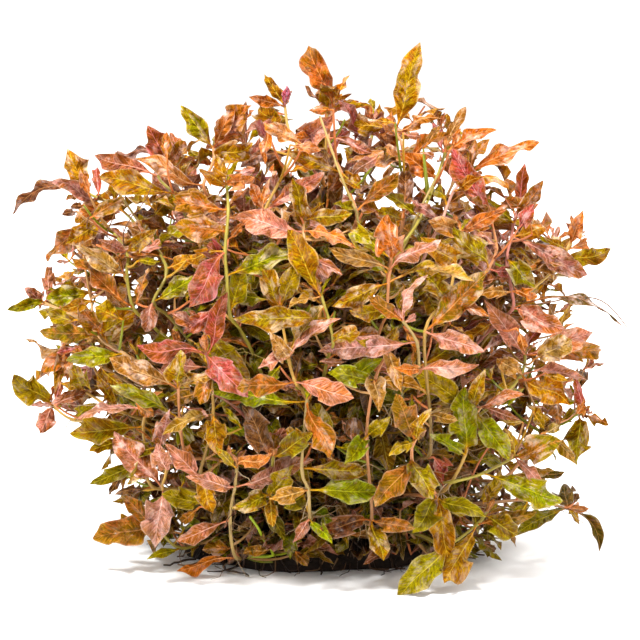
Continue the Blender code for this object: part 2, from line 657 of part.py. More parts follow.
def edge_cuts(one, other, shared, verts):
    """Whether the edge of one face that lies across from the shared corner cuts the other face."""
    start, end = (verts[corner] for corner in one if corner != shared)
    way = end - start
    for origin, ray in ((start, way), (end, -way)):
        hit = intersect_ray_tri(*(verts[corner] for corner in other), ray.normalized(), origin, True)
        if hit is None or (hit - origin).length > way.length:
            return False
    return True


def cuts(one, other, verts):
    """Whether two triangles of one mesh cut each other, or lie folded almost flat together."""
    shared = set(one) & set(other)
    if not shared:
        return True
    if len(shared) == 1:
        corner = next(iter(shared))
        return edge_cuts(one, other, corner, verts) or edge_cuts(other, one, corner, verts)
    if len(shared) == 3:
        return False
    first, second = (verts[corner] for corner in shared)
    line = (second - first).normalized()
    sides = []
    for face in (one, other):
        reach = next(verts[corner] for corner in face if corner not in shared) - first
        sides.append((reach - line * reach.dot(line)).normalized())
    return sides[0].dot(sides[1]) > FLAT_FOLD


def meets_own(shoot, points, faces, root):
    """Whether a new leaf cuts its own shoot or itself."""
    verts = shoot.verts + points
    kept = [face for face in shoot.faces if face != root]
    new = BVHTree.FromPolygons(verts, faces)
    for mine, theirs in new.overlap(BVHTree.FromPolygons(verts, kept)):
        if cuts(faces[mine], kept[theirs], verts):
            return True
    for mine, theirs in new.overlap(new):
        if mine < theirs and cuts(faces[mine], faces[theirs], verts):
            return True
    return False


def try_leaf(thicket, shoot, number, form):
    """Grows the leaf if it is clear of everything. Says whether it did."""
    first = next((start for place, start in shoot.spots if place == number), None)
    if first is None:
        return False
    envelope = leaf_envelope(form)
    if min(point.z for point in envelope[0]) < GROUND_CLEARANCE:
        return False
    leaving = (bend(form["base"], form["pull"], form["tip"], 0.3) - form["base"]).normalized()
    for face in shoot.free_triangles(first, leaving)[:4]:
        corners = [shoot.verts[corner] for corner in face]
        points, turn = leaf_solid(form, corners)
        start = len(shoot.verts)
        faces = leaf_faces(face, start, (len(points) - 1) // 3, turn)
        if meets_own(shoot, points, faces, face):
            continue
        if thicket.meets(*envelope, skip=shoot.name):
            return False
        solid = corners + points
        numbers = {**{corner: i for i, corner in enumerate(face)}, **{start + i: 3 + i for i in range(len(points))}}
        sides = [tuple(numbers[corner] for corner in side) for side in faces]
        if thicket.meets(solid, sides, skip=shoot.name):
            continue
        shoot.faces.remove(face)
        shoot.verts += points
        shoot.faces += faces
        shoot.tones.append(form["tone"])
        thicket.add(shoot.name, *envelope)
        thicket.add(shoot.name, solid, sides)
        return True
    return False


def turned(form, yaw, rise, bow, shrink):
    """The same leaf swung sideways and upwards about its base, in degrees, and made shorter."""
    reach = form["tip"] - form["base"]
    level = Vector((0.0, 0.0, 1.0)).cross(reach)
    if level.length < 1e-3:
        level = Vector((1.0, 0.0, 0.0))
    level.normalize()
    swing = Matrix.Rotation(math.radians(yaw), 3, "Z") @ Matrix.Rotation(math.radians(-rise), 3, level)
    tip = form["base"] + (swing @ reach) * shrink
    return leaf_form(
        form["base"], tip, form["width"] * shrink ** 0.5, swing @ form["up"],
        form["bow"] + bow, form["tone"], form["plain"],
    )


# The small turns that a leaf tries, the least ones first: yaw, rise, bow and size
TURNS = sorted(
    (
        (yaw, rise, bow, size)
        for yaw in (0, -7, 7, -14, 14, -24, 24)
        for rise in (0, 6, -6, 13, -13, 22)
        for bow in (0.0, 0.07, -0.07)
        for size in (1.0, 0.86, 0.72)
    ),
    key=lambda t: abs(t[0]) / 7 + abs(t[1]) / 6 + abs(t[2]) * 12 + (1.0 - t[3]) * 16,
)


# The small moves that a stem tries, the least ones first
STEM_SHIFTS = sorted(
    (
        Vector((sideways, forward, 0.0))
        for sideways in (0.0, -3.0, 3.0, -6.0, 6.0)
        for forward in (0.0, -5.0, 5.0, -10.0, 10.0, -15.0, 15.0, -22.0, 22.0, -30.0, 30.0)
    ),
    key=lambda shift: abs(shift.x) * 3.0 + abs(shift.y),
)


def grow(thicket, shoot, number, form, patience):
    for turn in TURNS[:patience]:
        if try_leaf(thicket, shoot, number, turned(form, *turn)):
            return True
    return False


def front_leaf(base, spec):
    """The form of a leaf given in the front view. It rolls so that it shows the width it should."""
    u, v = spec["tip"]
    tip = seen(u, v, base.y - spec["forward"])
    tip.z = max(tip.z, LEAF_THICKNESS + 2.0 * GROUND_CLEARANCE)
    width = max(spec["width"], min(LEAF_WIDTH, (tip - base).length / LEAF_SLENDERNESS) * 0.75)
    width = max(width, NARROWEST_LEAF)
    along = (tip - base).normalized()
    viewer = Vector((0.0, -math.cos(VIEW_TILT), math.sin(VIEW_TILT)))
    facing, _ = across_frame(along, viewer)
    upper, _ = across_frame(along, Vector((0.0, 0.0, 1.0)))
    roll = math.acos(max(0.0, min(1.0, spec["width"] / width)))
    side = 1.0 if along.cross(facing).dot(upper) >= 0.0 else -1.0
    normal = math.cos(roll) * facing + math.sin(roll) * side * along.cross(facing)
    return leaf_form(base, tip, width, normal, spec["bow"], spec["tone"])


def back_nodes(tip, foot, rand):
    """The nodes of a shoot of the back, from the lowest to the tip."""
    pull = Vector((foot.x * BACK_SPREAD, foot.y * BACK_SPREAD, foot.z + 0.62 * (tip.z - foot.z)))
    steps = 60
    curve = [bend(foot, pull, tip, step / steps) for step in range(steps + 1)]
    places = [tip]
    gone = 0.0
    for here, before in zip(curve[::-1], curve[-2::-1]):
        gone += (here - before).length
        if gone >= NODE_SPACING * (1.0 + 0.25 * (rand.random() - 0.5)) and before.z > LOWEST_NODE:
            places.append(before)
            gone = 0.0
    return [{"place": place, "leaves": ()} for place in reversed(places)]


def within_outline(point):
    """Whether the front view shows a point inside the bush's outline."""
    u, v = shown(point)
    inside = False
    for (u1, v1), (u2, v2) in zip(OUTLINE, OUTLINE[1:] + OUTLINE[:1]):
        if (v1 > v) != (v2 > v) and u < u1 + (u2 - u1) * (v - v1) / (v2 - v1):
            inside = not inside
    return inside


def back_leaves(shoot):
    """Pairs of leaves, each pair across the one below it, and a rosette at the tip."""
    rand = random.Random(f"{BACK_SEED} {shoot.name}")
    spin = rand.uniform(0.0, math.pi)
    wanted = []
    tones = list(TONES)
    count = len(shoot.nodes)
    for number in range(count):
        place = shoot.nodes[number]["place"]
        top = number == count - 1
        leaves = 4 if top else 2
        for item in range(leaves):
            angle = spin + number * math.pi / 2.0 + item * 2.0 * math.pi / leaves + rand.uniform(-0.35, 0.35)
            outward = Vector((place.x, place.y * 1.4, 0.0)).normalized()
            level = Vector((math.cos(angle), math.sin(angle), 0.0))
            facing_out = level.dot(outward)
            rise = math.radians(rand.uniform(30.0, 58.0) if top else rand.uniform(-12.0, 30.0))
            length = rand.uniform(26.0, 40.0) if top else rand.uniform(37.0, 50.0)
            reach = (level * math.cos(rise) + Vector((0.0, 0.0, math.sin(rise)))) * length
            width = length / BACK_SLENDERNESS * rand.uniform(0.9, 1.15)
            roll = Vector((rand.uniform(-0.35, 0.35), rand.uniform(-0.35, 0.35), 1.0)) + 0.4 * outward
            form = leaf_form(
                place, place + reach, width, roll, rand.uniform(0.04, 0.14), rand.choice(tones), True
            )
            if within_outline(form["tip"]):
                wanted.append((top, facing_out, number, form))
    return wanted


def low_leaves(shoot):
    """A pair of smaller leaves at each low node of a shoot of the front."""
    rand = random.Random(f"{BACK_SEED} {shoot.name}")
    wanted = []
    for number, item in enumerate(shoot.nodes):
        if not item.get("low"):
            continue
        spin = rand.uniform(-0.5, 0.5)
        for side in (0.0, math.pi):
            level = Vector((math.cos(spin + side), -abs(math.sin(spin + side)) - 0.25, 0.0)).normalized()
            reach = (level + Vector((0.0, 0.0, rand.uniform(-0.3, 0.35)))) * rand.uniform(30.0, 42.0)
            upper = Vector((0.0, -rand.uniform(0.6, 1.6), 1.0))
            tone = rand.choice(("dark", "olive", "green", "olive", "copper", "tan"))
            width = reach.length / LEAF_SLENDERNESS
            form = leaf_form(item["place"], item["place"] + reach, width, upper, 0.08, tone, True)
            if within_outline(form["tip"]):
                wanted.append((-item["place"].y, number, form))
    return wanted


def clear_feet(wanted, taken):
    """Places for a foot, the ones nearest to the wanted place first, clear of the stems already there."""
    outside = max(1.0, math.hypot(wanted[0] / CLUMP_HALF_WIDTH, wanted[1] / CLUMP_HALF_DEPTH) / FOOT_REACH)
    for step in range(FOOT_TRIES):
        angle = 2.4 * step
        reach = 1.3 * math.sqrt(step)
        x = wanted[0] / outside + reach * math.cos(angle)
        y = wanted[1] / outside + reach * math.sin(angle)
        share = math.hypot(x / CLUMP_HALF_WIDTH, y / CLUMP_HALF_DEPTH)
        if share <= FOOT_REACH + 0.01 and all(math.hypot(x - a, y - b) >= FOOT_SPACING for a, b in taken):
            yield x, y


def foot_on(clump_tree, x, y):
    """The stem's foot, just above the clump all round."""
    heights = []
    for side in range(7):
        angle = 2.0 * math.pi * side / 6.0
        reach = 0.0 if side == 6 else 1.1 * STEM_RADIUS_LOW
        start = Vector((x + reach * math.cos(angle), y + reach * math.sin(angle), 200.0))
        hit = clump_tree.ray_cast(start, Vector((0.0, 0.0, -1.0)))[0]
        heights.append(hit.z)
    return Vector((x, y, max(heights) + TOUCH_GAP))


def make_material(name, colour, roughness):
    material = bpy.data.materials.new(name)
    material.use_nodes = True
    shader = material.node_tree.nodes["Principled BSDF"]
    shader.inputs["Base Color"].default_value = (*colour, 1.0)
    shader.inputs["Roughness"].default_value = roughness
    shader.inputs["Metallic"].default_value = 0.0
    return material


def make_object(name, verts, faces, material, smooth):
    mesh = bpy.data.meshes.new(name)
    work = bmesh.new()
    points = [work.verts.new(point * MM) for point in verts]
    for face in faces:
        work.faces.new([points[corner] for corner in face])
    bmesh.ops.triangulate(work, faces=[face for face in work.faces if len(face.verts) > 3])
    bmesh.ops.recalc_face_normals(work, faces=work.faces)
    work.to_mesh(mesh)
    work.free()
    mesh.materials.append(material)
    made = bpy.data.objects.new(name, mesh)
    bpy.context.scene.collection.objects.link(made)
    if smooth:
        mesh.shade_smooth()
        mesh.set_sharp_from_angle(angle=math.radians(50.0))
    return made


def mean_tone(tones):
    mixed = [TONES[tone] for tone in tones] or [TONES["olive"]]
    return tuple(sum(colour[i] for colour in mixed) / len(mixed) for i in range(3))


def low_nodes(foot, first):
    """The nodes between a stem's foot and the lowest node that the front view gives."""
    pull = Vector((foot.x, foot.y, foot.z + 0.6 * (first.z - foot.z)))
    count = round((first - foot).length / LOW_NODE_STEP)
    curve = [bend(foot, pull, first, step / count) for step in range(1, count)]
    return [{"place": place, "leaves": (), "low": True} for place in curve if place.z > LOWEST_NODE]


def clear_stem(thicket, clump_tree, name, nodes, places):
    """The first stem, over all feet and moves, that is clear of the stems before it."""
    for place in places:
        foot = foot_on(clump_tree, *place)
        for shift in STEM_SHIFTS:
            moved = [{**item, "place": item["place"] + shift} for item in nodes]
            shoot = Shoot(name, foot, low_nodes(foot, moved[0]["place"]) + moved)
            if not thicket.meets(shoot.verts, shoot.faces, skip="root_clump"):
                return shoot, place
    raise ValueError("no room for the stem of " + name)


def stems(thicket, clump_tree):
    """Every shoot's stem, each moved in depth until it is clear of those before it."""
    taken = []
    rand = random.Random(BACK_SEED)
    wanted = []
    for name, nodes in FRONT_SHOOTS.items():
        low = nodes[0]["place"]
        wanted.append((name, nodes, (FOOT_SPREAD * low.x, FOOT_SPREAD * low.y), None))
    for name, tips in BACK_TIPS.items():
        for item, tip in enumerate(tips):
            foot = (FOOT_SPREAD * 0.8 * tip[0], FOOT_SPREAD * 0.8 * tip[1])
            wanted.append((f"{name}_{item + 1}", None, foot, Vector(tip)))
    shoots = []
    for name, nodes, near_foot, tip in wanted:
        if nodes is None:
            nodes = back_nodes(tip, Vector((*near_foot, CLUMP_HEIGHT)), rand)
        shoot, place = clear_stem(thicket, clump_tree, name, nodes, clear_feet(near_foot, taken))
        taken.append(place)
        thicket.add(name, shoot.verts, shoot.faces)
        shoots.append(shoot)
    return shoots


def leaves(thicket, shoots):
    """The leaves of the front first, then those of the back, the outer ones before the inner ones."""
    missed = 0
    for shoot in shoots:
        for number, item in enumerate(shoot.nodes):
            for spec in item["leaves"]:
                form = front_leaf(item["place"], spec)
                if not grow(thicket, shoot, number, form, len(TURNS)):
                    missed += 1
    inner = [(*entry[:1], shoot, *entry[1:]) for shoot in shoots for entry in low_leaves(shoot)]
    inner.sort(key=lambda entry: entry[0], reverse=True)
    for _, shoot, number, form in inner:
        if not grow(thicket, shoot, number, form, 40):
            missed += 1
    later = []
    for shoot in shoots:
        if not any(item["leaves"] for item in shoot.nodes):
            later += [(*entry[:2], shoot, *entry[2:]) for entry in back_leaves(shoot)]
    later.sort(key=lambda entry: (entry[0], entry[1]), reverse=True)
    for _, _, shoot, number, form in later:
        if not grow(thicket, shoot, number, form, 60):
            missed += 1
    return missed


def build():
    for old in list(bpy.data.objects):
        bpy.data.objects.remove(old, do_unlink=True)
    thicket = Thicket()
    clump_verts, clump_faces = clump_solid()
    clump_tree = BVHTree.FromPolygons(clump_verts, clump_faces)
    thicket.add("root_clump", clump_verts, clump_faces)
    shoots = stems(thicket, clump_tree)
    missed = leaves(thicket, shoots)
    soil = make_material("dark_roots", (0.045, 0.022, 0.016), 0.85)
    make_object("root_clump", clump_verts, clump_faces, soil, True)
    total = 0
    for shoot in shoots:
        material = make_material(shoot.name + "_leaf", mean_tone(shoot.tones), 0.5)
        made = make_object(shoot.name, shoot.verts, shoot.faces, material, False)
        total += len(made.data.polygons)
    print("shoots", len(shoots), "leaves", sum(len(shoot.tones) for shoot in shoots), "missed", missed,
          "triangles", total)


build()
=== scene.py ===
"""The looks of a brown hygrophila: one bushy bunch of leafy shoots on a dark clump of roots.

Lengths are in millimetres and become metres where a mesh is made. The front view's places are given as u, to
the right, and v, up. A range, such as STUB_LENGTH, is the least and the most that a random draw gives.
"""

import math
import random

import bpy
import numpy as np
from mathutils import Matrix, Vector


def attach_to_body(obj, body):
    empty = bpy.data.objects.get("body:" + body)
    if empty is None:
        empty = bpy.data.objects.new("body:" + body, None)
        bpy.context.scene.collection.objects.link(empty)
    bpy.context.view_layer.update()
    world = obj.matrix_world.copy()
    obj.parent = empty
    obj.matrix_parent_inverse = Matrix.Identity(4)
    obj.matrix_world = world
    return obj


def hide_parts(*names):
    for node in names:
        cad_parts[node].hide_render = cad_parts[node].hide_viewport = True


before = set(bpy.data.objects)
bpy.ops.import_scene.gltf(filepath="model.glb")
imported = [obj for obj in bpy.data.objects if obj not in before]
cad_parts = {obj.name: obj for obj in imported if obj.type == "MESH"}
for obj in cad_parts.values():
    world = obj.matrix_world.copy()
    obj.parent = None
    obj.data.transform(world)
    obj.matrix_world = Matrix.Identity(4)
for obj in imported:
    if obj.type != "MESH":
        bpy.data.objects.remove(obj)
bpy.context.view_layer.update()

MM = 0.001
SEED = 41

# The front view
VIEW_TILT = math.radians(9.0)
VIEW_DISTANCE = 1800.0
VIEW_MIDDLE = 150.0
VIEW_WIDTH = 384.0
SENSOR_WIDTH = 36.0
FARTHEST_SEEN = 20000.0
AIM = Vector((0.0, 0.0, 141.0))
UP = Vector((0.0, 0.0, 1.0))
VIEWER = Vector((0.0, -math.cos(VIEW_TILT), math.sin(VIEW_TILT)))
VIEW_UP = Vector((0.0, math.sin(VIEW_TILT), math.cos(VIEW_TILT)))
EYE = AIM + VIEW_DISTANCE * VIEWER

# The shape of the whole bush
BUSH_HALF_WIDTH = 188.0
BUSH_HALF_DEPTH = 120.0
BUSH_MIDDLE = 165.0
BUSH_RISE = 150.0
BUSH_DROP = 190.0

# The root clump: its rings and steps, its lumps, its wall's patches on the map, and what grows on it
CLUMP_HALF_WIDTH = 86.0
CLUMP_HALF_DEPTH = 56.0
CLUMP_HEIGHT = 25.0
CLUMP_LIP = 3.5
CLUMP_GRID = (26, 120)
CLUMP_ROUGHNESS = 0.7
CLUMP_LUMPINESS = 0.8
CLUMP_TAPER = 0.985
CLUMP_MAP = 1.2
WALL_STRIP = 20
WALL_STEP = 4.6
WALL_HEIGHT = 6.0
CLUMP_COLOUR = (0.022, 0.012, 0.007)
ROOT_COLOURS = ((0.05, 0.024, 0.010), (0.10, 0.048, 0.020), (0.03, 0.015, 0.008), (0.22, 0.12, 0.055))
ROOT_COUNT = 260
ROOT_STEPS = (5, 10)
ROOT_STEP = 4.2
ROOT_RADII = (0.35, 0.5, 0.7, 1.0)
STUB_COUNT = 90
STUB_LENGTH = (14.0, 44.0)
STUB_RADIUS = (0.6, 1.3)

# The stems and their feet on the clump
FOOT_SPACING = 9.0
FOOT_SPREAD = 0.5
BACK_FOOT_SPREAD = 0.4
FOOT_REACH = 0.88
FOOT_DEPTH = 6.0
FRONT_SINK = 0.35
BACK_SPREAD = 1.15
STEM_RADIUS_LOW = 1.2
STEM_RADIUS_HIGH = 0.8
STEM_SIDES = 8
STEM_STEP = 5.0
STEM_END = 5.0
NODE_SWELLING = 0.28
SWELLING_REACH = 2.2
LOWEST_NODE = 30.0
LOW_NODE_STEP = 22.0
LOW_STEM = (0.11, 0.065, 0.018)
NODE_ROOT_STEP = 16.0
NODE_ROOT_TOP = 115.0
NODE_ROOT_LENGTH = (8.0, 26.0)
NODE_ROOT_RADIUS = (0.18, 0.34)
NODE_ROOT_TONES = ((0.32, 0.19, 0.085), (0.17, 0.09, 0.035), (0.46, 0.33, 0.19), (0.10, 0.05, 0.02))

# The leaves' sizes, and how many rows and columns their meshes have
LEAF_WIDTH = 13.0
LEAF_SLENDERNESS = 3.5
LEAF_THICKNESS = 0.42
LEAF_FORWARD = 4.0
LEAF_BOW = 0.08
LOWEST_TIP = 1.5
WIDTH_GAIN = 1.12
PETIOLE_SHARE = 0.1
PETIOLE_WIDTH = 1.3
THIN_BLADE = 0.8
SMALL_LEAF = 22.0
SMALL_NEARNESS = (0.84, 0.98)
SMALL_FORWARD = (-8.0, 14.0)
SMALL_BOW = (0.04, 0.14)
GROUND_CLEARANCE = 0.5
LEAF_GRID = (24, 6)
SMALL_LEAF_GRID = (11, 4)
RULE_LEAF_GRID = (14, 4)
TWIG_LEAF_GRID = (11, 4)
INNER_LEAF_GRID = (8, 2)
BUD_LEAF_GRID = (6, 2)

# How the leaves bend: the spreads of their sway and rise and the mean and spread of their curl, all as shares
# of the length, the twist's spread in degrees, ranges of the blade's form, and the share that folds upwards
LEAF_SWAY = 0.022
LEAF_RISE = 0.018
LEAF_CURL = (-0.09, 0.13)
LEAF_TWIST = 24.0
BLADE_LEAN = (0.95, 1.35)
BLADE_FULLNESS = (0.75, 1.15)
BLADE_FOLD = (0.1, 0.8)
FOLDED_UP = 0.75
WAVE_DEPTH = (0.45, 1.15)

# Waves along a leaf's edge, sideways and up: size, slowest and fastest pace, and how much the phase shifts it
EDGE_RIPPLES = ((0.10, 1.6, 3.0, 1.7), (0.06, 3.4, 4.9, 2.9))
EDGE_WAVES = ((1.0, 1.8, 3.4, 1.0), (0.3, 3.4, 4.8, 2.3))

# The leaves and twigs that follow a rule. Each layer has its share of the bush's size and its count of places
FILL_LAYERS = ((0.93, 300), (0.76, 330), (0.57, 320), (0.38, 260), (0.2, 130))
FILL_SPREAD = (0.88, 1.06)
GOLDEN_ANGLE = 2.399963
FRONT_SHARE = 0.8
INNER_SHARE = 0.6
OUTER_FILL_LENGTH = (27.0, 47.0)
INNER_FILL_LENGTH = (20.0, 40.0)
LOWEST_FILL = 14.0
CROWN_START = 185.0
CROWN_SHARE = 0.12
LONGEST_TWIG = 62.0
LONG_TWIG = 26.0
TWIG_RADII = (0.85, 0.6)
HIDDEN_SHARE = 0.8
# Painted shade: the share of its colours that a leaf or twig of the innermost layer keeps
INNER_PAINTED_LIGHT = 0.35
RULE_LENGTH = (34.0, 48.0)
FRONT_RULE_SIZE = 0.82
RULE_WAVE = 0.75
BUD_LENGTH = (9.0, 18.0)
LITTER_COUNT = 300
LITTER_REACH = (0.9, 1.28)
LITTER_HEIGHT = (5.0, 42.0)
LITTER_LENGTH = (16.0, 36.0)
LITTER_GAP = 34.0
# Painted shade: the share of their colours that the leaves round the clump keep
LITTER_PAINTED_LIGHT = 0.62

# Where a piece's faces lie on its map
MAP_GAP = 1.6
MAP_GROWTH = 1.04
MAP_STRIP = 60.0
CAP_MAP = 0.4
BLADE_MAP = 1.1

# The materials' slots, the angle that makes an edge sharp, and the leaf's own settings
LEAF_SLOT = 0
STEM_SLOT = 1
ROOT_SLOT = 2
SHARP_ANGLE = math.radians(70.0)
VEIN_SPACING = 4.6
LEAF_GAIN = 0.91
LEAF_SATURATION = 1.06
BASE_RED = (0.62, 0.16, 0.035, 1.0)
# The pink-white of the painted highlight on the leaves' glossy patches, also mixed into their pale edges
PAINTED_SHEEN_PINK = (0.86, 0.66, 0.62, 1.0)
GREEN_BLOTCH = (0.90, 0.63, 0.008)
FLECK_BROWN = (0.08, 0.03, 0.012, 1.0)

# The floor and the light: each light's place, size and power
FLOOR_REACH = 9000.0
FLOOR_DROP = 0.2
WORLD_STRENGTH = 1.1
LIGHT_AIM = Vector((0.0, 0.0, 150.0))
LIGHTS = {
    "key_light": ((-650.0, -900.0, 1900.0), 520.0, 76.0),
    "fill_light": ((1300.0, -1100.0, 700.0), 1000.0, 9.0),
    "back_light": ((700.0, 1500.0, 1500.0), 1400.0, 45.0),
}

# Each tone as the leaf's main colour, the colour it is blotched with and its midrib's
TONES = {
    "copper": ((0.44, 0.128, 0.036), (0.28, 0.125, 0.008), (0.74, 0.34, 0.12)),
    "mauve": ((0.47, 0.165, 0.120), (0.36, 0.115, 0.030), (0.80, 0.44, 0.33)),
    "olive": ((0.29, 0.195, 0.003), (0.31, 0.120, 0.006), (0.66, 0.47, 0.07)),
    "green": ((0.22, 0.235, 0.001), (0.27, 0.19, 0.002), (0.58, 0.48, 0.05)),
    "gold": ((0.50, 0.26, 0.014), (0.38, 0.135, 0.010), (0.80, 0.53, 0.12)),
    "crimson": ((0.36, 0.058, 0.056), (0.34, 0.095, 0.024), (0.80, 0.31, 0.28)),
    "pink": ((0.64, 0.27, 0.205), (0.48, 0.18, 0.07), (0.88, 0.53, 0.44)),
    "tan": ((0.54, 0.275, 0.085), (0.40, 0.165, 0.024), (0.80, 0.50, 0.22)),
    "orange": ((0.68, 0.205, 0.056), (0.46, 0.13, 0.024), (0.88, 0.44, 0.20)),
    "dark": ((0.17, 0.066, 0.020), (0.09, 0.034, 0.010), (0.44, 0.22, 0.09)),
    "straw": ((0.38, 0.265, 0.07), (0.26, 0.165, 0.03), (0.54, 0.40, 0.14)),
    "lime": ((0.33, 0.42, 0.01), (0.22, 0.26, 0.01), (0.60, 0.60, 0.10)),
    "rose": ((0.72, 0.20, 0.26), (0.60, 0.13, 0.14), (0.90, 0.60, 0.72)),
}

# The stems whose tone the photo shows, and the tones of the others and of twigs
STEM_TONES = {
    "tall_green_stem_shoot": "green",
    "left_green_stem_shoot": "green",
    "slanting_stem_shoot": "green",
    "pale_stem_shoot": "pink",
    "front_pale_stem_shoot": "straw",
    "front_middle_shoot": "straw",
    "upper_right_shoot": "orange",
    "right_red_stem_shoot": "crimson",
    "mauve_leaf_shoot": "straw",
    "lower_right_shoot": "green",
    "crimson_shoot": "crimson",
    "peach_leaf_shoot": "orange",
    "wilted_shoot": "dark",
}
OTHER_STEM_TONES = ("tan", "orange", "green", "gold")
TWIG_TONES = OTHER_STEM_TONES + ("copper",)

# The tones that their place turns less green, and then the lists that leaves' tones are drawn from
RED_TONES = ("crimson", "pink", "mauve", "orange")
INNER_TONES = ("olive", "copper", "green", "dark", "olive", "gold", "copper", "mauve")
OUTER_TONES = (
    "copper", "olive", "gold", "mauve", "tan", "pink", "orange", "copper", "green", "copper", "olive", "tan",
    "mauve", "gold", "copper", "crimson",
)
BUD_TONES = ("orange", "pink", "gold", "orange", "green", "mauve", "copper")
CROWN_TONES = (
    "gold", "copper", "tan", "orange", "mauve", "olive", "copper", "mauve", "tan", "pink", "copper",
    "crimson",
)
CENTRE_TONES = ("olive", "copper", "green", "olive", "green", "gold", "dark")
LEFT_TONES = ("olive", "copper", "mauve", "green", "gold", "tan", "copper", "dark")
RIGHT_TONES = ("copper", "mauve", "pink", "gold", "olive", "tan", "dark", "copper", "crimson")
LITTER_TONES = ("dark", "olive", "tan", "mauve", "green", "dark", "olive", "pink")
LOW_TONES = ("olive", "green", "gold", "olive", "green", "dark", "copper", "mauve")

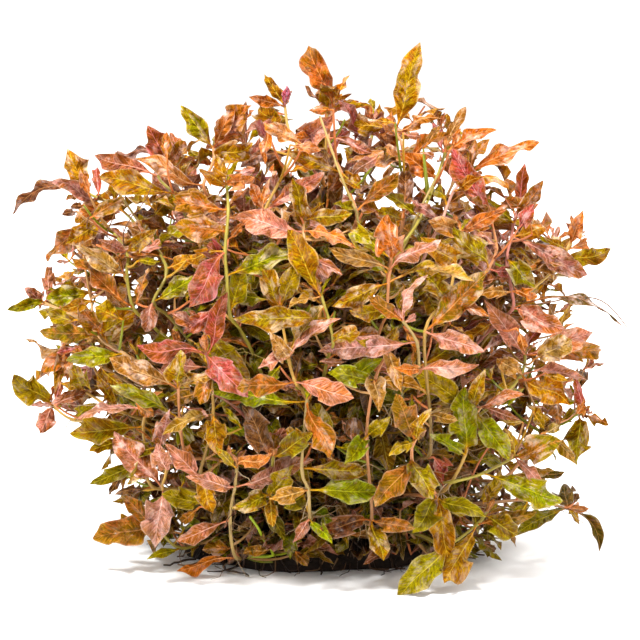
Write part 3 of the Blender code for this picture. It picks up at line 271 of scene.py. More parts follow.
# Every shoot that the front view shows, from its lowest node to its tip. A node has its u, v and nearness,
# which is 1 at the bush's front face and 0 at its middle plane, and then its leaves: the tip's u and v, the
# width shown and the tone, and for some how far forward the tip stands and how much the middle is lifted.
FRONT_SHOOTS = {
    "left_crown_shoot": [
        (-100, 161, 0.85, (-73, 176, 10, "green"), (-105, 143, 9, "pink")),
        (-92, 181, 0.75, (-76, 187, 8, "gold", 14)),
        (-110, 207, 0.4, (-82, 225, 10, "olive"), (-96, 196, 6, "green")),
        (-123, 219, 0.3, (-147, 211, 13, "copper"), (-121, 241, 8, "olive", 10)),
        (-133, 223, 0.3, (-159, 232, 8, "mauve", 22), (-134, 243, 5, "crimson", -12)),
        (-139, 226, 0.2, (-186, 218, 6, "dark", 0, 0.22), (-151, 251, 13, "gold", 8)),
    ],
    "left_crown_high_shoot": [
        (-88, 226, 0.55, (-132, 236, 13, "olive"), (-68, 221, 9, "tan", 20)),
        (-97, 236, 0.4, (-136, 249, 11, "mauve", -12)),
        (-90, 243, 0.35, (-102, 264, 13, "crimson", 16), (-80, 258, 9, "copper", 20),
         (-132, 254, 7, "dark", -28)),
    ],
    "upper_left_shoot": [
        (-70, 231, 0.55, (-108, 246, 9, "tan", 12)),
        (-64, 245, 0.45, (-38, 257, 11, "olive", 14)),
        (-64, 253, 0.3, (-83, 278, 10, "green"), (-40, 279, 15, "copper", 0), (-54, 274, 8, "orange", 14)),
    ],
    "tall_green_stem_shoot": [
        (-54, 153, 1.0, (-46, 182, 12, "green", -16)),
        (-56, 177, 1.0, (-15, 192, 12, "green")),
        (-57, 191, 1.0, (-78, 159, 15, "crimson", 18), (-82, 187, 7, "gold", -20)),
        (-56, 203, 0.97, (-86, 207, 14, "copper", 10)),
        (-55, 216, 0.95, (-89, 221, 13, "copper", -10)),
        (-56, 231, 0.85, (-73, 241, 8, "gold", 20), (-62, 249, 6, "gold", 4), (-38, 236, 8, "orange", 20)),
    ],
    "inner_crown_shoot": [
        (-34, 214, 0.85, (-42, 235, 6, "orange", 8), (4, 238, 9, "mauve", 4)),
        (-14, 254, 0.45, (-48, 243, 7, "dark", 6), (7, 272, 13, "pink", 20)),
        (-19, 264, 0.3, (-45, 262, 5, "mauve", 20), (-38, 277, 12, "olive", -12)),
        (-21, 278, 0.2, (-33, 297, 6, "olive", 2), (-43, 284, 6, "orange", 12), (-20, 290, 5, "rose", 10)),
    ],
    "middle_crown_shoot": [
        (22, 215, 0.85, (6, 219, 5, "green", 20), (47, 238, 9, "copper", -8)),
        (13, 238, 0.6, (-20, 251, 8, "olive", 12), (27, 226, 9, "olive", 22)),
        (5, 259, 0.4, (-19, 257, 6, "orange", 24), (33, 249, 6, "mauve", 12)),
        (8, 277, 0.2, (-6, 313, 13, "copper"), (17, 297, 4, "gold", 6), (26, 282, 4, "olive", 10)),
    ],
    "right_crown_shoot": [
        (50, 210, 0.75, (52, 241, 9, "dark", -14), (31, 217, 8, "olive", 22)),
        (50, 251, 0.35, (17, 249, 6, "dark", 16)),
        (45, 263, 0.25, (60, 316, 14, "olive", 0), (70, 272, 6, "tan", 16), (12, 270, 11, "gold", 2)),
    ],
    "slanting_stem_shoot": [
        (51, 197, 0.95),
        (60, 211, 0.85, (38, 226, 5, "green", 6)),
        (70, 235, 0.55, (49, 250, 11, "orange", 10)),
        (75, 250, 0.4, (67, 270, 5, "crimson", -6), (86, 279, 6, "tan", -4), (103, 266, 6, "orange", 14)),
    ],
    "pale_stem_shoot": [
        (73, 209, 0.85, (56, 221, 6, "mauve", 12)),
        (80, 227, 0.6, (96, 236, 6, "gold", 22)),
        (90, 238, 0.4, (130, 259, 9, "orange", 4), (113, 230, 5, "gold", 18), (93, 258, 5, "copper", -12)),
    ],
    "upper_right_shoot": [
        (101, 181, 0.8, (85, 201, 15, "olive", 26), (113, 178, 6, "crimson", -20)),
        (106, 193, 0.65, (93, 201, 5, "pink", 24)),
        (103, 208, 0.5, (79, 253, 13, "crimson", 0), (87, 205, 7, "orange", 26),
         (113, 221, 5, "copper", -16)),
    ],
    "right_red_stem_shoot": [
        (116, 157, 0.75, (141, 147, 13, "mauve", 22), (184, 146, 5, "dark", -12, 0.2)),
        (115, 167, 0.7, (134, 164, 6, "orange", 22), (100, 167, 6, "tan", 24)),
        (112, 186, 0.6, (127, 172, 11, "green", 20)),
        (115, 200, 0.45, (161, 177, 12, "mauve", 4), (137, 206, 10, "gold", -18)),
        (116, 208, 0.4, (134, 234, 8, "copper", 14), (104, 220, 6, "green", 16)),
        (118, 214, 0.3, (123, 244, 7, "crimson", -4)),
    ],
    "far_right_shoot": [
        (129, 170, 0.55),
        (144, 183, 0.35, (172, 192, 10, "olive", 12), (126, 184, 9, "tan", 26)),
        (148, 192, 0.3, (136, 199, 5, "gold", 14), (163, 197, 6, "orange", -14)),
        (150, 196, 0.28, (157, 213, 8, "orange", 12)),
    ],
    "left_green_stem_shoot": [
        (-112, 157, 0.75, (-153, 186, 9, "copper", 4)),
        (-116, 177, 0.75, (-144, 193, 10, "tan", 16)),
        (-116, 191, 0.65, (-135, 199, 7, "pink", 24), (-97, 205, 8, "gold", 20), (-80, 192, 5, "pink", 6)),
        (-130, 209, 0.4, (-152, 196, 12, "olive", 22)),
        (-136, 214, 0.3, (-164, 185, 10, "copper", 2)),
    ],
    "far_left_shoot": [
        (-146, 152, 0.45),
        (-165, 160, 0.2, (-184, 158, 6, "green", 24), (-177, 169, 7, "mauve", 10),
         (-161, 184, 7, "mauve", -14)),
    ],
    "left_rosette_shoot": [
        (-118, 130, 0.85, (-151, 126, 10, "green", 8)),
        (-133, 141, 0.65, (-168, 143, 10, "copper", 6, 0.16), (-112, 154, 14, "olive", 16),
         (-143, 163, 11, "copper", 24)),
        (-138, 166, 0.45, (-164, 163, 11, "green", 8), (-121, 171, 8, "mauve", -16)),
    ],
    "left_drooping_shoot": [
        (-131, 122, 0.6, (-118, 107, 6, "olive", 20)),
        (-150, 131, 0.35, (-169, 117, 10, "copper", 14, 0.3), (-158, 111, 9, "copper", 26)),
    ],
    "left_forked_shoot": [
        (-125, 97, 0.75, (-133, 117, 5, "olive", 16)),
        (-142, 108, 0.45, (-148, 124, 11, "olive", 24), (-161, 100, 6, "mauve", 10)),
    ],
    "round_leaf_shoot": [
        (-128, 90, 0.55),
        (-148, 90, 0.3, (-136, 99, 6, "green", 22)),
        (-160, 98, 0.1, (-185, 119, 14, "olive", 12), (-168, 83, 11, "mauve", 22),
         (-154, 116, 5, "crimson", -16)),
    ],
    "lower_left_shoot": [
        (-101, 50, 0.95, (-122, 46, 5, "dark", 14)),
        (-104, 66, 0.9, (-117, 50, 8, "tan", 22), (-139, 51, 8, "olive", 2)),
        (-106, 86, 0.85, (-150, 82, 13, "olive", 4), (-92, 76, 8, "olive", -24)),
        (-104, 97, 0.85, (-146, 91, 5, "pink", 14), (-119, 113, 6, "olive", -20)),
    ],
    "low_pink_shoot": [
        (-94, 48, 1.1, (-99, 17, 16, "pink", 20), (-123, 82, 15, "mauve", 8)),
        (-92, 60, 1.1, (-97, 72, 10, "pink", 32)),
        (-96, 74, 1.05, (-90, 97, 9, "pink", 22), (-116, 70, 8, "olive", -18)),
    ],
    "lowest_left_shoot": [
        (-84, 13, 1.0, (-101, 8, 5, "green", 18)),
        (-99, 27, 0.95, (-134, 19, 15, "copper", 14), (-117, 42, 9, "copper", 18),
         (-125, 29, 5, "olive", -14)),
    ],
    "front_pale_stem_shoot": [
        (-50, 7, 1.15, (-86, -1, 6, "orange", 6)),
        (-54, 30, 1.15, (-87, 17, 9, "mauve", 10)),
        (-51, 50, 1.15, (-77, 55, 8, "pink", 22, 0.16), (-4, 66, 10, "pink", 2)),
        (-50, 61, 1.1, (-30, 70, 7, "orange", 24), (-61, 72, 5, "gold", 14)),
    ],
    "middle_left_shoot": [
        (-80, 69, 1.0),
        (-84, 90, 1.0, (-124, 113, 8, "green", 4)),
        (-85, 109, 1.0, (-84, 129, 13, "olive", 24), (-126, 127, 12, "tan", 10), (-71, 117, 6, "tan", 26)),
    ],
    "crimson_shoot": [
        (-67, 108, 0.9, (-92, 101, 8, "copper", -22)),
        (-66, 120, 1.0, (-72, 100, 9, "copper", 22)),
        (-68, 129, 1.0, (-57, 163, 10, "crimson", 16), (-110, 135, 11, "crimson", 6),
         (-48, 108, 14, "crimson", 24)),
    ],
    "ochre_shoot": [
        (-68, 40, 1.0, (-90, 44, 11, "olive", 22)),
        (-72, 57, 1.05, (-64, 34, 10, "gold", 22), (-87, 69, 10, "pink", 26)),
        (-64, 93, 0.9, (-61, 70, 11, "gold", 24), (-92, 86, 6, "tan", 24)),
        (-69, 143, 0.85, (-43, 112, 14, "olive", 18), (-86, 152, 8, "mauve", 20)),
    ],
    "front_middle_shoot": [
        (-6, 31, 1.2, (6, 17, 6, "green", 20), (-15, 18, 6, "mauve", 16)),
        (-7, 48, 1.2, (-28, 43, 9, "tan", 26), (35, 47, 12, "green", 2)),
        (-11, 61, 1.15, (32, 59, 10, "olive", -6)),
        (-8, 101, 1.05, (-67, 107, 9, "green", 2, 0.0), (6, 67, 12, "copper", 14)),
    ],
    "low_middle_shoot": [
        (-30, 45, 1.0, (-49, 38, 10, "olive", 24), (-18, 60, 11, "olive", 24), (-28, 23, 7, "gold", 24)),
        (-28, 68, 1.05, (-47, 99, 13, "dark", 14), (-3, 83, 11, "olive", 20)),
    ],
    "cream_leaf_shoot": [
        (-15, 113, 1.1, (17, 104, 13, "pink", 20), (-50, 109, 11, "copper", 6)),
        (-19, 127, 1.05, (-38, 120, 6, "pink", 26), (-27, 138, 9, "tan", 30), (3, 159, 6, "tan", 4),
         (10, 152, 6, "pink", 16)),
        (-24, 158, 0.95, (-35, 182, 10, "olive", 18), (-13, 184, 10, "olive", 16)),
    ],
    "long_leaf_shoot": [
        (8, 137, 1.05, (24, 146, 9, "olive", 24)),
        (5, 151, 1.05, (-53, 151, 12, "olive", 0)),
        (1, 164, 1.0, (-20, 205, 13, "olive", 4), (-20, 155, 5, "tan", 26)),
    ],
    "upper_middle_shoot": [
        (-6, 187, 0.95, (8, 180, 7, "mauve", 24)),
        (-10, 203, 0.9, (18, 199, 6, "orange", 24), (-50, 211, 13, "pink", 4)),
        (-9, 210, 0.85, (22, 214, 9, "olive", 16), (-16, 234, 9, "olive", 12)),
    ],
    "orange_leaf_shoot": [
        (40, 154, 0.97, (16, 156, 9, "olive", 22)),
        (41, 172, 1.0, (7, 158, 10, "olive", 14), (92, 178, 6, "tan", 6, 0.14)),
        (42, 180, 1.0, (10, 192, 8, "tan", 12), (69, 199, 7, "pink", 22)),
        (43, 187, 0.95, (41, 211, 14, "orange", 16), (22, 204, 8, "green", -14)),
    ],
    "mauve_leaf_shoot": [
        (59, 120, 1.05, (94, 123, 9, "pink", 8, 0.26), (49, 121, 6, "orange", 24)),
        (58, 137, 1.1, (-1, 131, 12, "pink", 2)),
        (50, 149, 1.1, (27, 166, 7, "copper", 16), (63, 177, 5, "pink", 16, 0.2)),
    ],
    "copper_leaf_shoot": [
        (66, 70, 0.95),
        (66, 93, 0.95, (82, 90, 6, "tan", 24)),
        (63, 143, 1.05, (101, 179, 14, "copper", 2), (98, 131, 10, "pink", 16)),
        (77, 164, 0.95, (60, 178, 12, "olive", 26), (96, 155, 8, "orange", 20)),
        (81, 184, 0.9, (66, 196, 12, "gold", 28)),
        (84, 203, 0.8, (67, 209, 9, "tan", 28), (105, 213, 7, "orange", 22)),
    ],
    "peach_leaf_shoot": [
        (70, 44, 1.1, (57, 24, 13, "olive", 24), (77, 9, 13, "gold", 20), (96, 33, 9, "olive", 20)),
        (55, 66, 1.12, (32, 37, 13, "copper", 18), (66, 46, 13, "olive", 28)),
        (57, 78, 1.1, (44, 109, 13, "copper", 18), (43, 70, 6, "gold", 26), (62, 92, 6, "gold", 26)),
    ],
    "green_leaf_shoot": [
        (75, 48, 1.05, (69, 67, 9, "crimson", -24)),
        (87, 69, 1.05, (87, 109, 14, "green", 12), (70, 80, 7, "green", 24)),
        (92, 97, 0.95, (114, 65, 12, "green", 18), (58, 118, 12, "olive", 14), (123, 105, 6, "mauve", 18),
         (97, 118, 7, "gold", 26)),
    ],
    "lower_right_shoot": [
        (80, 53, 1.15),
        (98, 58, 1.15, (146, 41, 14, "green", 6, 0.14)),
        (117, 68, 1.0, (142, 76, 14, "copper", 20), (132, 51, 6, "pink", 26), (113, 83, 6, "gold", 24)),
    ],
    "lowest_right_shoot": [
        (76, 15, 1.75, (49, -16, 15, "olive", 24)),
        (94, 27, 1.4, (71, -12, 16, "gold", 30), (130, 35, 8, "copper", 2)),
        (99, 33, 1.3, (118, 21, 14, "olive", 16)),
    ],
    "centre_shoot": [
        (31, 30, 1.15, (-3, 25, 11, "dark", 16), (55, 25, 8, "copper", 22), (38, 6, 10, "olive", 16)),
        (28, 80, 1.0, (17, 66, 9, "green", 24), (42, 92, 8, "olive", 24)),
        (33, 114, 1.02, (7, 118, 10, "green", 20), (35, 99, 10, "tan", 26), (61, 110, 6, "tan", 20)),
        (41, 131, 0.95, (47, 113, 8, "tan", 26), (21, 139, 6, "copper", 20)),
    ],
    "wilted_shoot": [
        (98, 40, 0.85, (106, 53, 8, "gold", 24)),
        (125, 42, 0.7, (113, 25, 8, "olive", 20)),
        (148, 37, 0.5, (146, 53, 12, "dark", 20), (168, 5, 5, "dark", 10, 0.26), (116, 20, 8, "olive", 26)),
    ],
    "right_diamond_shoot": [
        (112, 56, 0.75, (141, 59, 6, "tan", 18)),
        (134, 82, 0.5, (153, 67, 6, "tan", 26), (127, 98, 6, "gold", 24)),
        (155, 94, 0.2, (155, 66, 14, "olive", 24), (156, 114, 5, "crimson", 14), (174, 86, 5, "copper", 20)),
    ],
    "right_rosette_shoot": [
        (106, 101, 0.8, (124, 110, 7, "green", 24)),
        (121, 117, 0.7, (151, 98, 14, "gold", 16), (159, 117, 5, "pink", 14), (106, 127, 9, "tan", 26)),
        (123, 129, 0.65, (163, 142, 14, "pink", 8), (173, 132, 10, "copper", -16),
         (103, 157, 11, "pink", 18), (130, 148, 6, "crimson", -22)),
    ],
}

# The tips of the shoots of the back, the sides and the middle, which the front view hides
BACK_TIPS = {
    "low_back_shoot": [
        (124, 34, 86), (98, 78, 66), (40, 104, 88), (-28, 106, 70), (-88, 84, 82), (-118, 36, 68),
    ],
    "middle_back_shoot": [
        (136, 26, 165), (96, 78, 176), (36, 104, 172), (-42, 102, 180), (-100, 74, 168), (-136, 22, 172),
    ],
    "high_back_shoot": [
        (84, 22, 228), (32, 62, 246), (-46, 56, 240), (-84, 12, 228),
    ],
    "top_back_shoot": [
        (4, 12, 262),
    ],
}

# The bush's outline in the front view, a little inside the tips of its outer leaves
OUTLINE = [
    (-176, 120), (-173, 150), (-162, 186), (-150, 212), (-134, 240), (-96, 256), (-78, 270), (-45, 276),
    (-30, 288), (2, 302), (28, 284), (60, 296), (86, 270), (112, 256), (131, 238), (136, 208), (158, 194),
    (158, 172), (154, 150), (164, 136), (156, 112), (164, 92), (150, 68), (144, 46), (128, 24), (112, 4),
    (-102, 4), (-130, 20), (-126, 50), (-146, 70), (-152, 90), (-168, 100),
]

# Smaller leaves that the front view shows between the shoots' own, by tone: base, tip and width
SMALL_LEAVES = {
    "orange": [
        (-138, 224, -144, 241, 5), (-56, 211, -42, 213, 4), (-55, 198, -45, 209, 4),
        (-80, 186, -66, 183, 7), (-34, 214, -33, 232, 4), (-33, 268, -33, 243, 5), (-18, 255, 0, 252, 6),
        (78, 252, 85, 266, 4), (118, 145, 124, 130, 5), (155, 94, 158, 103, 5), (42, 189, 29, 196, 5),
        (-84, 134, -88, 143, 4),
    ],
    "copper": [
        (-138, 211, -119, 223, 8), (-92, 243, -92, 263, 6), (8, 276, -6, 276, 5), (62, 253, 72, 266, 5),
        (94, 27, 80, 35, 8), (50, 146, 56, 123, 4), (-15, 12, -8, 3, 7), (-134, 195, -124, 192, 6),
        (-110, 160, -105, 178, 5), (-110, 100, -100, 92, 7), (-52, 14, -70, 12, 9), (-72, 38, -85, 27, 6),
    ],
    "dark": [
        (-142, 219, -149, 218, 4), (-146, 215, -153, 214, 4), (126, 56, 147, 59, 5), (152, 40, 155, 46, 4),
        (97, 16, 106, 12, 4), (20, 80, 20, 92, 10), (-118, 58, -127, 45, 4), (-115, 50, -110, 33, 4),
    ],
    "pink": [
        (-50, 236, -40, 241, 5), (50, 148, 58, 153, 4), (-15, 110, -27, 112, 5), (0, 125, 12, 125, 4),
        (-25, 58, -43, 50, 8), (-82, 98, -66, 92, 5),
    ],
    "crimson": [
        (-58, 187, -68, 195, 10), (-60, 158, -82, 142, 9), (119, 205, 127, 217, 8), (155, 94, 161, 97, 4),
        (68, 68, 76, 57, 10), (-145, 134, -158, 130, 4),
    ],
    "olive": [
        (-15, 226, -8, 205, 9), (50, 170, 52, 152, 10), (5, 68, -3, 100, 12), (-118, 150, -135, 158, 12),
        (-145, 150, -165, 153, 8), (-115, 80, -139, 71, 6),
    ],
    "tan": [
        (-10, 255, -33, 268, 9), (128, 126, 152, 139, 14), (108, 125, 118, 120, 10), (133, 82, 145, 87, 6),
        (122, 88, 110, 90, 4), (83, 97, 67, 95, 4), (60, 110, 35, 113, 5), (2, 158, -6, 140, 6),
        (9, 155, -8, 139, 6), (-20, 138, -26, 125, 10), (-30, 13, -46, 10, 6),
    ],
    "gold": [
        (45, 268, 33, 270, 4), (135, 118, 147, 114, 4), (128, 95, 134, 85, 5), (115, 78, 119, 73, 4),
        (95, 33, 75, 42, 10), (62, 90, 59, 78, 5), (-20, 157, -33, 163, 6), (-5, 75, -25, 82, 11),
        (-60, 65, -48, 72, 4), (-63, 70, -68, 90, 12), (-135, 161, -155, 157, 7),
    ],
    "mauve": [
        (50, 262, 61, 259, 4), (62, 250, 69, 248, 4), (35, 249, 20, 238, 7), (97, 98, 120, 90, 5),
        (-3, 187, 3, 172, 9), (-28, 72, -22, 84, 10), (-12, 17, 3, 12, 5), (-159, 99, -140, 108, 6),
    ],
    "green": [
        (55, 105, 56, 90, 4), (12, 113, 38, 126, 9), (10, 74, 24, 73, 4), (40, 178, 30, 188, 8),
        (18, 204, 31, 196, 10), (-24, 122, -33, 112, 6), (-60, 88, -42, 80, 5), (-47, 85, -58, 98, 4),
        (-10, 45, -20, 38, 10), (34, 50, 4, 50, 13), (-86, 90, -78, 75, 10), (-110, 185, -96, 185, 4),
    ],
}

# Bare stems that the front view shows: tone, radius, nearness and the places from the lowest up
STRANDS = (
    ("straw", 0.9, 0.9, (26, 202), (22, 214), (12, 238), (4, 261), (0, 272)),
    ("straw", 0.9, 0.8, (50, 193), (59, 214), (70, 236)),
    ("lime", 1.1, 0.95, (-28, 9), (-33, 17), (-37, 25), (-42, 32)),
    ("straw", 0.9, 0.55, (-92, 184), (-102, 199), (-113, 215), (-124, 231)),
    ("dark", 0.4, 0.7, (-118, 202), (-113, 212), (-104, 223), (-100, 234)),
    ("dark", 0.4, 0.7, (-128, 200), (-123, 214), (-120, 226)),
    ("dark", 0.35, 0.8, (-140, 206), (-135, 216), (-128, 222), (-119, 223)),
    ("copper", 0.7, 0.9, (60, 118), (66, 134), (68, 152)),
    ("copper", 0.7, 0.9, (84, 32), (93, 60), (108, 84)),
    ("straw", 0.3, 0.9, (-46, 133), (-45, 124), (-44, 115)),
    ("straw", 0.25, 0.9, (-45, 131), (-39, 129), (-34, 127)),
    ("dark", 0.5, 0.6, (134, 160), (150, 163), (165, 163), (175, 157), (184, 146)),
)


def show(name, data):
    """A new object of the scene."""
    made = bpy.data.objects.new(name, data)
    bpy.context.scene.collection.objects.link(made)
    return made


def add_camera():
    """The camera that sees what the photo shows."""
    data = bpy.data.cameras.new("photo_camera")
    data.sensor_width = SENSOR_WIDTH
    data.lens = SENSOR_WIDTH * VIEW_DISTANCE / VIEW_WIDTH
    data.clip_end = FARTHEST_SEEN * MM
    camera = show("photo_camera", data)
    camera.location = EYE * MM
    camera.rotation_euler = (math.pi / 2.0 - VIEW_TILT, 0.0, 0.0)
    bpy.context.scene.camera = camera


add_camera()


def front_depth(u, v):
    """How far towards the viewer the bush's front face stands at a place of the front view."""
    reach = BUSH_RISE if v > BUSH_MIDDLE else BUSH_DROP
    rest = 1.0 - (u / BUSH_HALF_WIDTH) ** 2 - ((v - BUSH_MIDDLE) / reach) ** 2
    return BUSH_HALF_DEPTH * math.sqrt(max(0.0, rest))


def seen(u, v, y):
    """The point at depth y that the front view shows at u, v."""
    ray = AIM + u * Vector((1.0, 0.0, 0.0)) + (v - VIEW_MIDDLE) * VIEW_UP - EYE
    return EYE + ray * ((y - EYE.y) / ray.y)


def in_front(u, v, near):
    """The point that the front view shows at u, v and at a nearness."""
    return seen(u, v, -near * front_depth(u, v))


def shown(point):
    """Where the front view shows a point."""
    reach = point - AIM
    scale = VIEW_DISTANCE / (VIEW_DISTANCE - reach.dot(VIEWER))
    upward = reach.z * math.cos(VIEW_TILT) + reach.y * math.sin(VIEW_TILT)
    return reach.x * scale, VIEW_MIDDLE + upward * scale


def within_outline(point):
    """Whether the front view shows a point inside the bush's outline."""
    u, v = shown(point)
    inside = False
    for (u1, v1), (u2, v2) in zip(OUTLINE, OUTLINE[1:] + OUTLINE[:1]):
        if (v1 > v) != (v2 > v) and u < u1 + (u2 - u1) * (v - v1) / (v2 - v1):
            inside = not inside
    return inside


def bend(start, middle, end, share):
    """The point at a share of the curve from start to end that middle pulls."""
    rest = 1.0 - share
    return rest * rest * start + 2.0 * rest * share * middle + share * share * end


def across_frame(direction, towards):
    """Two unit vectors across a direction, the first as near to the vector towards as it can be."""
    first = towards - direction * towards.dot(direction)
    if first.length < 1e-4:
        first = direction.orthogonal()
    first.normalize()
    return first, direction.cross(first)


def heading(angle, rise=0.0):
    """The level vector at an angle, with a rise."""
    return Vector((math.cos(angle), math.sin(angle), rise))


def any_angle(rand):
    """A random angle all round."""
    return rand.uniform(0.0, 2.0 * math.pi)


def unit(rows):
    """Rows of vectors made one long."""
    return rows / np.maximum(np.linalg.norm(rows, axis=-1, keepdims=True), 1e-9)


def layered(*layers):
    """Rows, columns and single values spread over one grid and stacked into its points."""
    return np.stack(np.broadcast_arrays(*layers), axis=-1)


def listed(*grids):
    """Grids of points as one list of points."""
    return np.concatenate([np.reshape(grid, (-1, 3)) for grid in grids])


def quads(grid, turned=False):
    """The four corners of each square of a grid of numbers or places. turned faces them the other way."""
    corners = (grid[:-1, :-1], grid[:-1, 1:], grid[1:, 1:], grid[1:, :-1])
    return np.stack(corners[::-1] if turned else corners, axis=2).reshape((-1, 4) + grid.shape[2:])


def distances(route):
    """How far along a route each of its points lies."""
    return np.concatenate([[0.0], np.cumsum(np.linalg.norm(np.diff(route, axis=0), axis=1))])


def point_at(route, reach, place):
    """The point of a route at a distance along it."""
    return np.array([np.interp(place, reach, route[:, axis]) for axis in range(3)])


def shades(colour, darker=0.7, lighter=1.2):
    """A stem's or a root's own colour, with the darker and the lighter one that it varies to."""
    colour = np.array(colour)
    return {"tone": colour, "blotch": colour * darker, "rib": colour * lighter}


def write(target, field, rows, kind=np.float32):
    """Sets a field of all of a mesh's elements from lists of rows."""
    target.foreach_set(field, np.concatenate(rows).astype(kind).ravel())


class Growth:
    """One piece before its mesh is made: its points, faces, marks for the shader and patches of its map."""

    VECTORS = ("place", "share")
    COLOURS = ("tone", "blotch", "rib")

    def __init__(self):
        self.points = []
        self.marks = {mark: [] for mark in self.VECTORS + self.COLOURS}
        self.faces = []
        self.patches = []
        self.count = 0

    def add(self, points, marks, sides, slot):
        """Adds points with marks. sides are patches of the map: faces, each corner's place, and the size."""
        for mark, rows in self.marks.items():
            rows.append(np.broadcast_to(np.asarray(marks[mark], dtype=float), (len(points), 3)))
        for groups, size in sides:
            for corners, places in groups:
                self.faces.append((corners + self.count, places, slot, len(self.patches)))
            self.patches.append(size)
        self.points.append(points)
        self.count += len(points)

    def packed(self):
        """Each patch's corner on a square map, in rows of patches of like height, and the map's side."""
        order = sorted(range(len(self.patches)), key=lambda number: -self.patches[number][1])
        side = MAP_GROWTH * math.sqrt(sum((w + MAP_GAP) * (h + MAP_GAP) for w, h in self.patches))
        while True:
            corners = {}
            x = y = row = 0.0
            for number in order:
                width, height = (length + MAP_GAP for length in self.patches[number])
                if x + width > side:
                    x, y, row = 0.0, y + row, 0.0
                corners[number] = (x + MAP_GAP / 2.0, y + MAP_GAP / 2.0)
                x += width
                row = max(row, height)
            if y + row <= side and max(w for w, _ in self.patches) < side:
                return corners, side
            side *= MAP_GROWTH

    def make(self, name, materials):
        """The piece's object, with its marks as attributes."""
        corners, side = self.packed()
        numbers, places, slots, starts = [], [], [], []
        gone = 0
        for faces, spots, slot, patch in self.faces:
            count, sides = faces.shape
            numbers.append(faces.ravel())
            places.append(((spots + np.asarray(corners[patch])) / side).reshape(-1, 2))
            slots.append(np.full(count, slot))
            starts.append(gone + sides * np.arange(count))
            gone += faces.size
        mesh = bpy.data.meshes.new(name)
        mesh.vertices.add(self.count)
        mesh.loops.add(gone)
        mesh.polygons.add(sum(len(rows) for rows in starts))
        write(mesh.vertices, "co", [points * MM for points in self.points])
        write(mesh.loops, "vertex_index", numbers, np.int32)
        write(mesh.polygons, "loop_start", starts, np.int32)
        write(mesh.polygons, "material_index", slots, np.int32)
        mesh.update(calc_edges=True)
        write(mesh.uv_layers.new(name="OFBake").uv, "vector", places)
        for mark in self.VECTORS:
            made = mesh.attributes.new("leaf_" + mark, "FLOAT_VECTOR", "POINT")
            write(made.data, "vector", self.marks[mark])
        for mark in self.COLOURS:
            made = mesh.attributes.new("leaf_" + mark, "FLOAT_COLOR", "POINT")
            write(made.data, "color", [np.insert(rows, 3, 1.0, axis=1) for rows in self.marks[mark]])
        mesh.validate()
        mesh.shade_smooth()
        mesh.set_sharp_from_angle(angle=SHARP_ANGLE)
        for material in materials:
            mesh.materials.append(material)
        return show(name, mesh)


def greenness(u, v):
    """How much greener than the bush's middle the leaves are at a place of the front view."""
    low = min(1.0, max(-1.3, (170.0 - v) / (150.0 if v < 170.0 else 80.0)))
    right = math.exp(-((u - 100.0) / 70.0) ** 2 - ((v - 55.0) / 55.0) ** 2)
    return 0.45 * low + 0.55 * right - 0.14


def tinted(tone, rand, light, place):
    """A tone's three colours for one leaf: a little off the table's, greener or pinker by its place, and
    darker by light, which is painted shade.
    """
    green = (greenness(*shown(place)) + rand.gauss(0.0, 0.25)) * (0.3 if tone in RED_TONES else 1.0)
    warm = rand.gauss(0.0, 0.05)
    shift = np.array((1.0 + warm - 0.16 * green, 1.0 + 0.08 * green, 1.0 - warm - 0.2 * green))
    # light darkens the colours: painted shade
    shift = np.maximum(shift, 0.2) * light * (1.0 + rand.gauss(0.0, 0.1))
    main, blotch, rib = (np.array(colour) for colour in TONES[tone])
    if tone not in RED_TONES and rand.random() < 0.12 + 0.4 * green:
        blotch = 0.3 * blotch + 0.7 * np.array(GREEN_BLOTCH) * blotch.max()
    return {"tone": main * shift, "blotch": blotch * shift, "rib": rib * (0.5 + 0.5 * shift)}


def painted_low_shade(place):
    """The factor that darkens the colours of the leaves of the low middle, behind the ones that the front
    view gives: painted shade.
    """
    u, v = shown(place)
    return 1.0 - 0.72 * math.exp(-(u / 105.0) ** 2 - ((v - 28.0) / 45.0) ** 2)


def seed_and_painted_sheen(rand, place):
    """A leaf's own number, which also sets how much painted pink sheen, a painted highlight, it gets. It is
    high, for more of that sheen, more often near the bush's crown.
    """
    _, v = shown(place)
    more_painted_sheen = rand.random() < min(0.6, max(0.12, 0.1 + 0.0022 * v))
    return rand.uniform(0.55, 1.0) if more_painted_sheen else rand.uniform(0.0, 0.5)


def leaf_form(base, tip, width, normal, bow, tone):
    """A leaf's ends, width, tone and curl, the way its upper face looks and the point that bends it."""
    up, _ = across_frame((tip - base).normalized(), normal)
    pull = (base + tip) / 2.0 + up * bow * 2.0 * (tip - base).length
    return {"base": base, "tip": tip, "width": width, "up": up, "pull": pull, "tone": tone, "curl": 1.0}


def front_leaf(base, u, v, width, tone, forward=LEAF_FORWARD, bow=LEAF_BOW):
    """The form of a leaf given in the front view. It rolls so that it shows the width it should."""
    tip = seen(u, v, base.y - forward)
    tip.z = max(tip.z, LOWEST_TIP)
    full = max(width, min(LEAF_WIDTH, (tip - base).length / LEAF_SLENDERNESS) * 0.75)
    along = (tip - base).normalized()
    facing, beside = across_frame(along, VIEWER)
    upper, _ = across_frame(along, UP)
    roll = math.acos(min(1.0, width / full))
    side = 1.0 if beside.dot(upper) >= 0.0 else -1.0
    normal = math.cos(roll) * facing + math.sin(roll) * side * beside
    form = leaf_form(base, tip, full * WIDTH_GAIN, normal, bow, tone)
    form["curl"] = max(0.15, 1.2 * math.cos(roll) - 0.2)
    return form


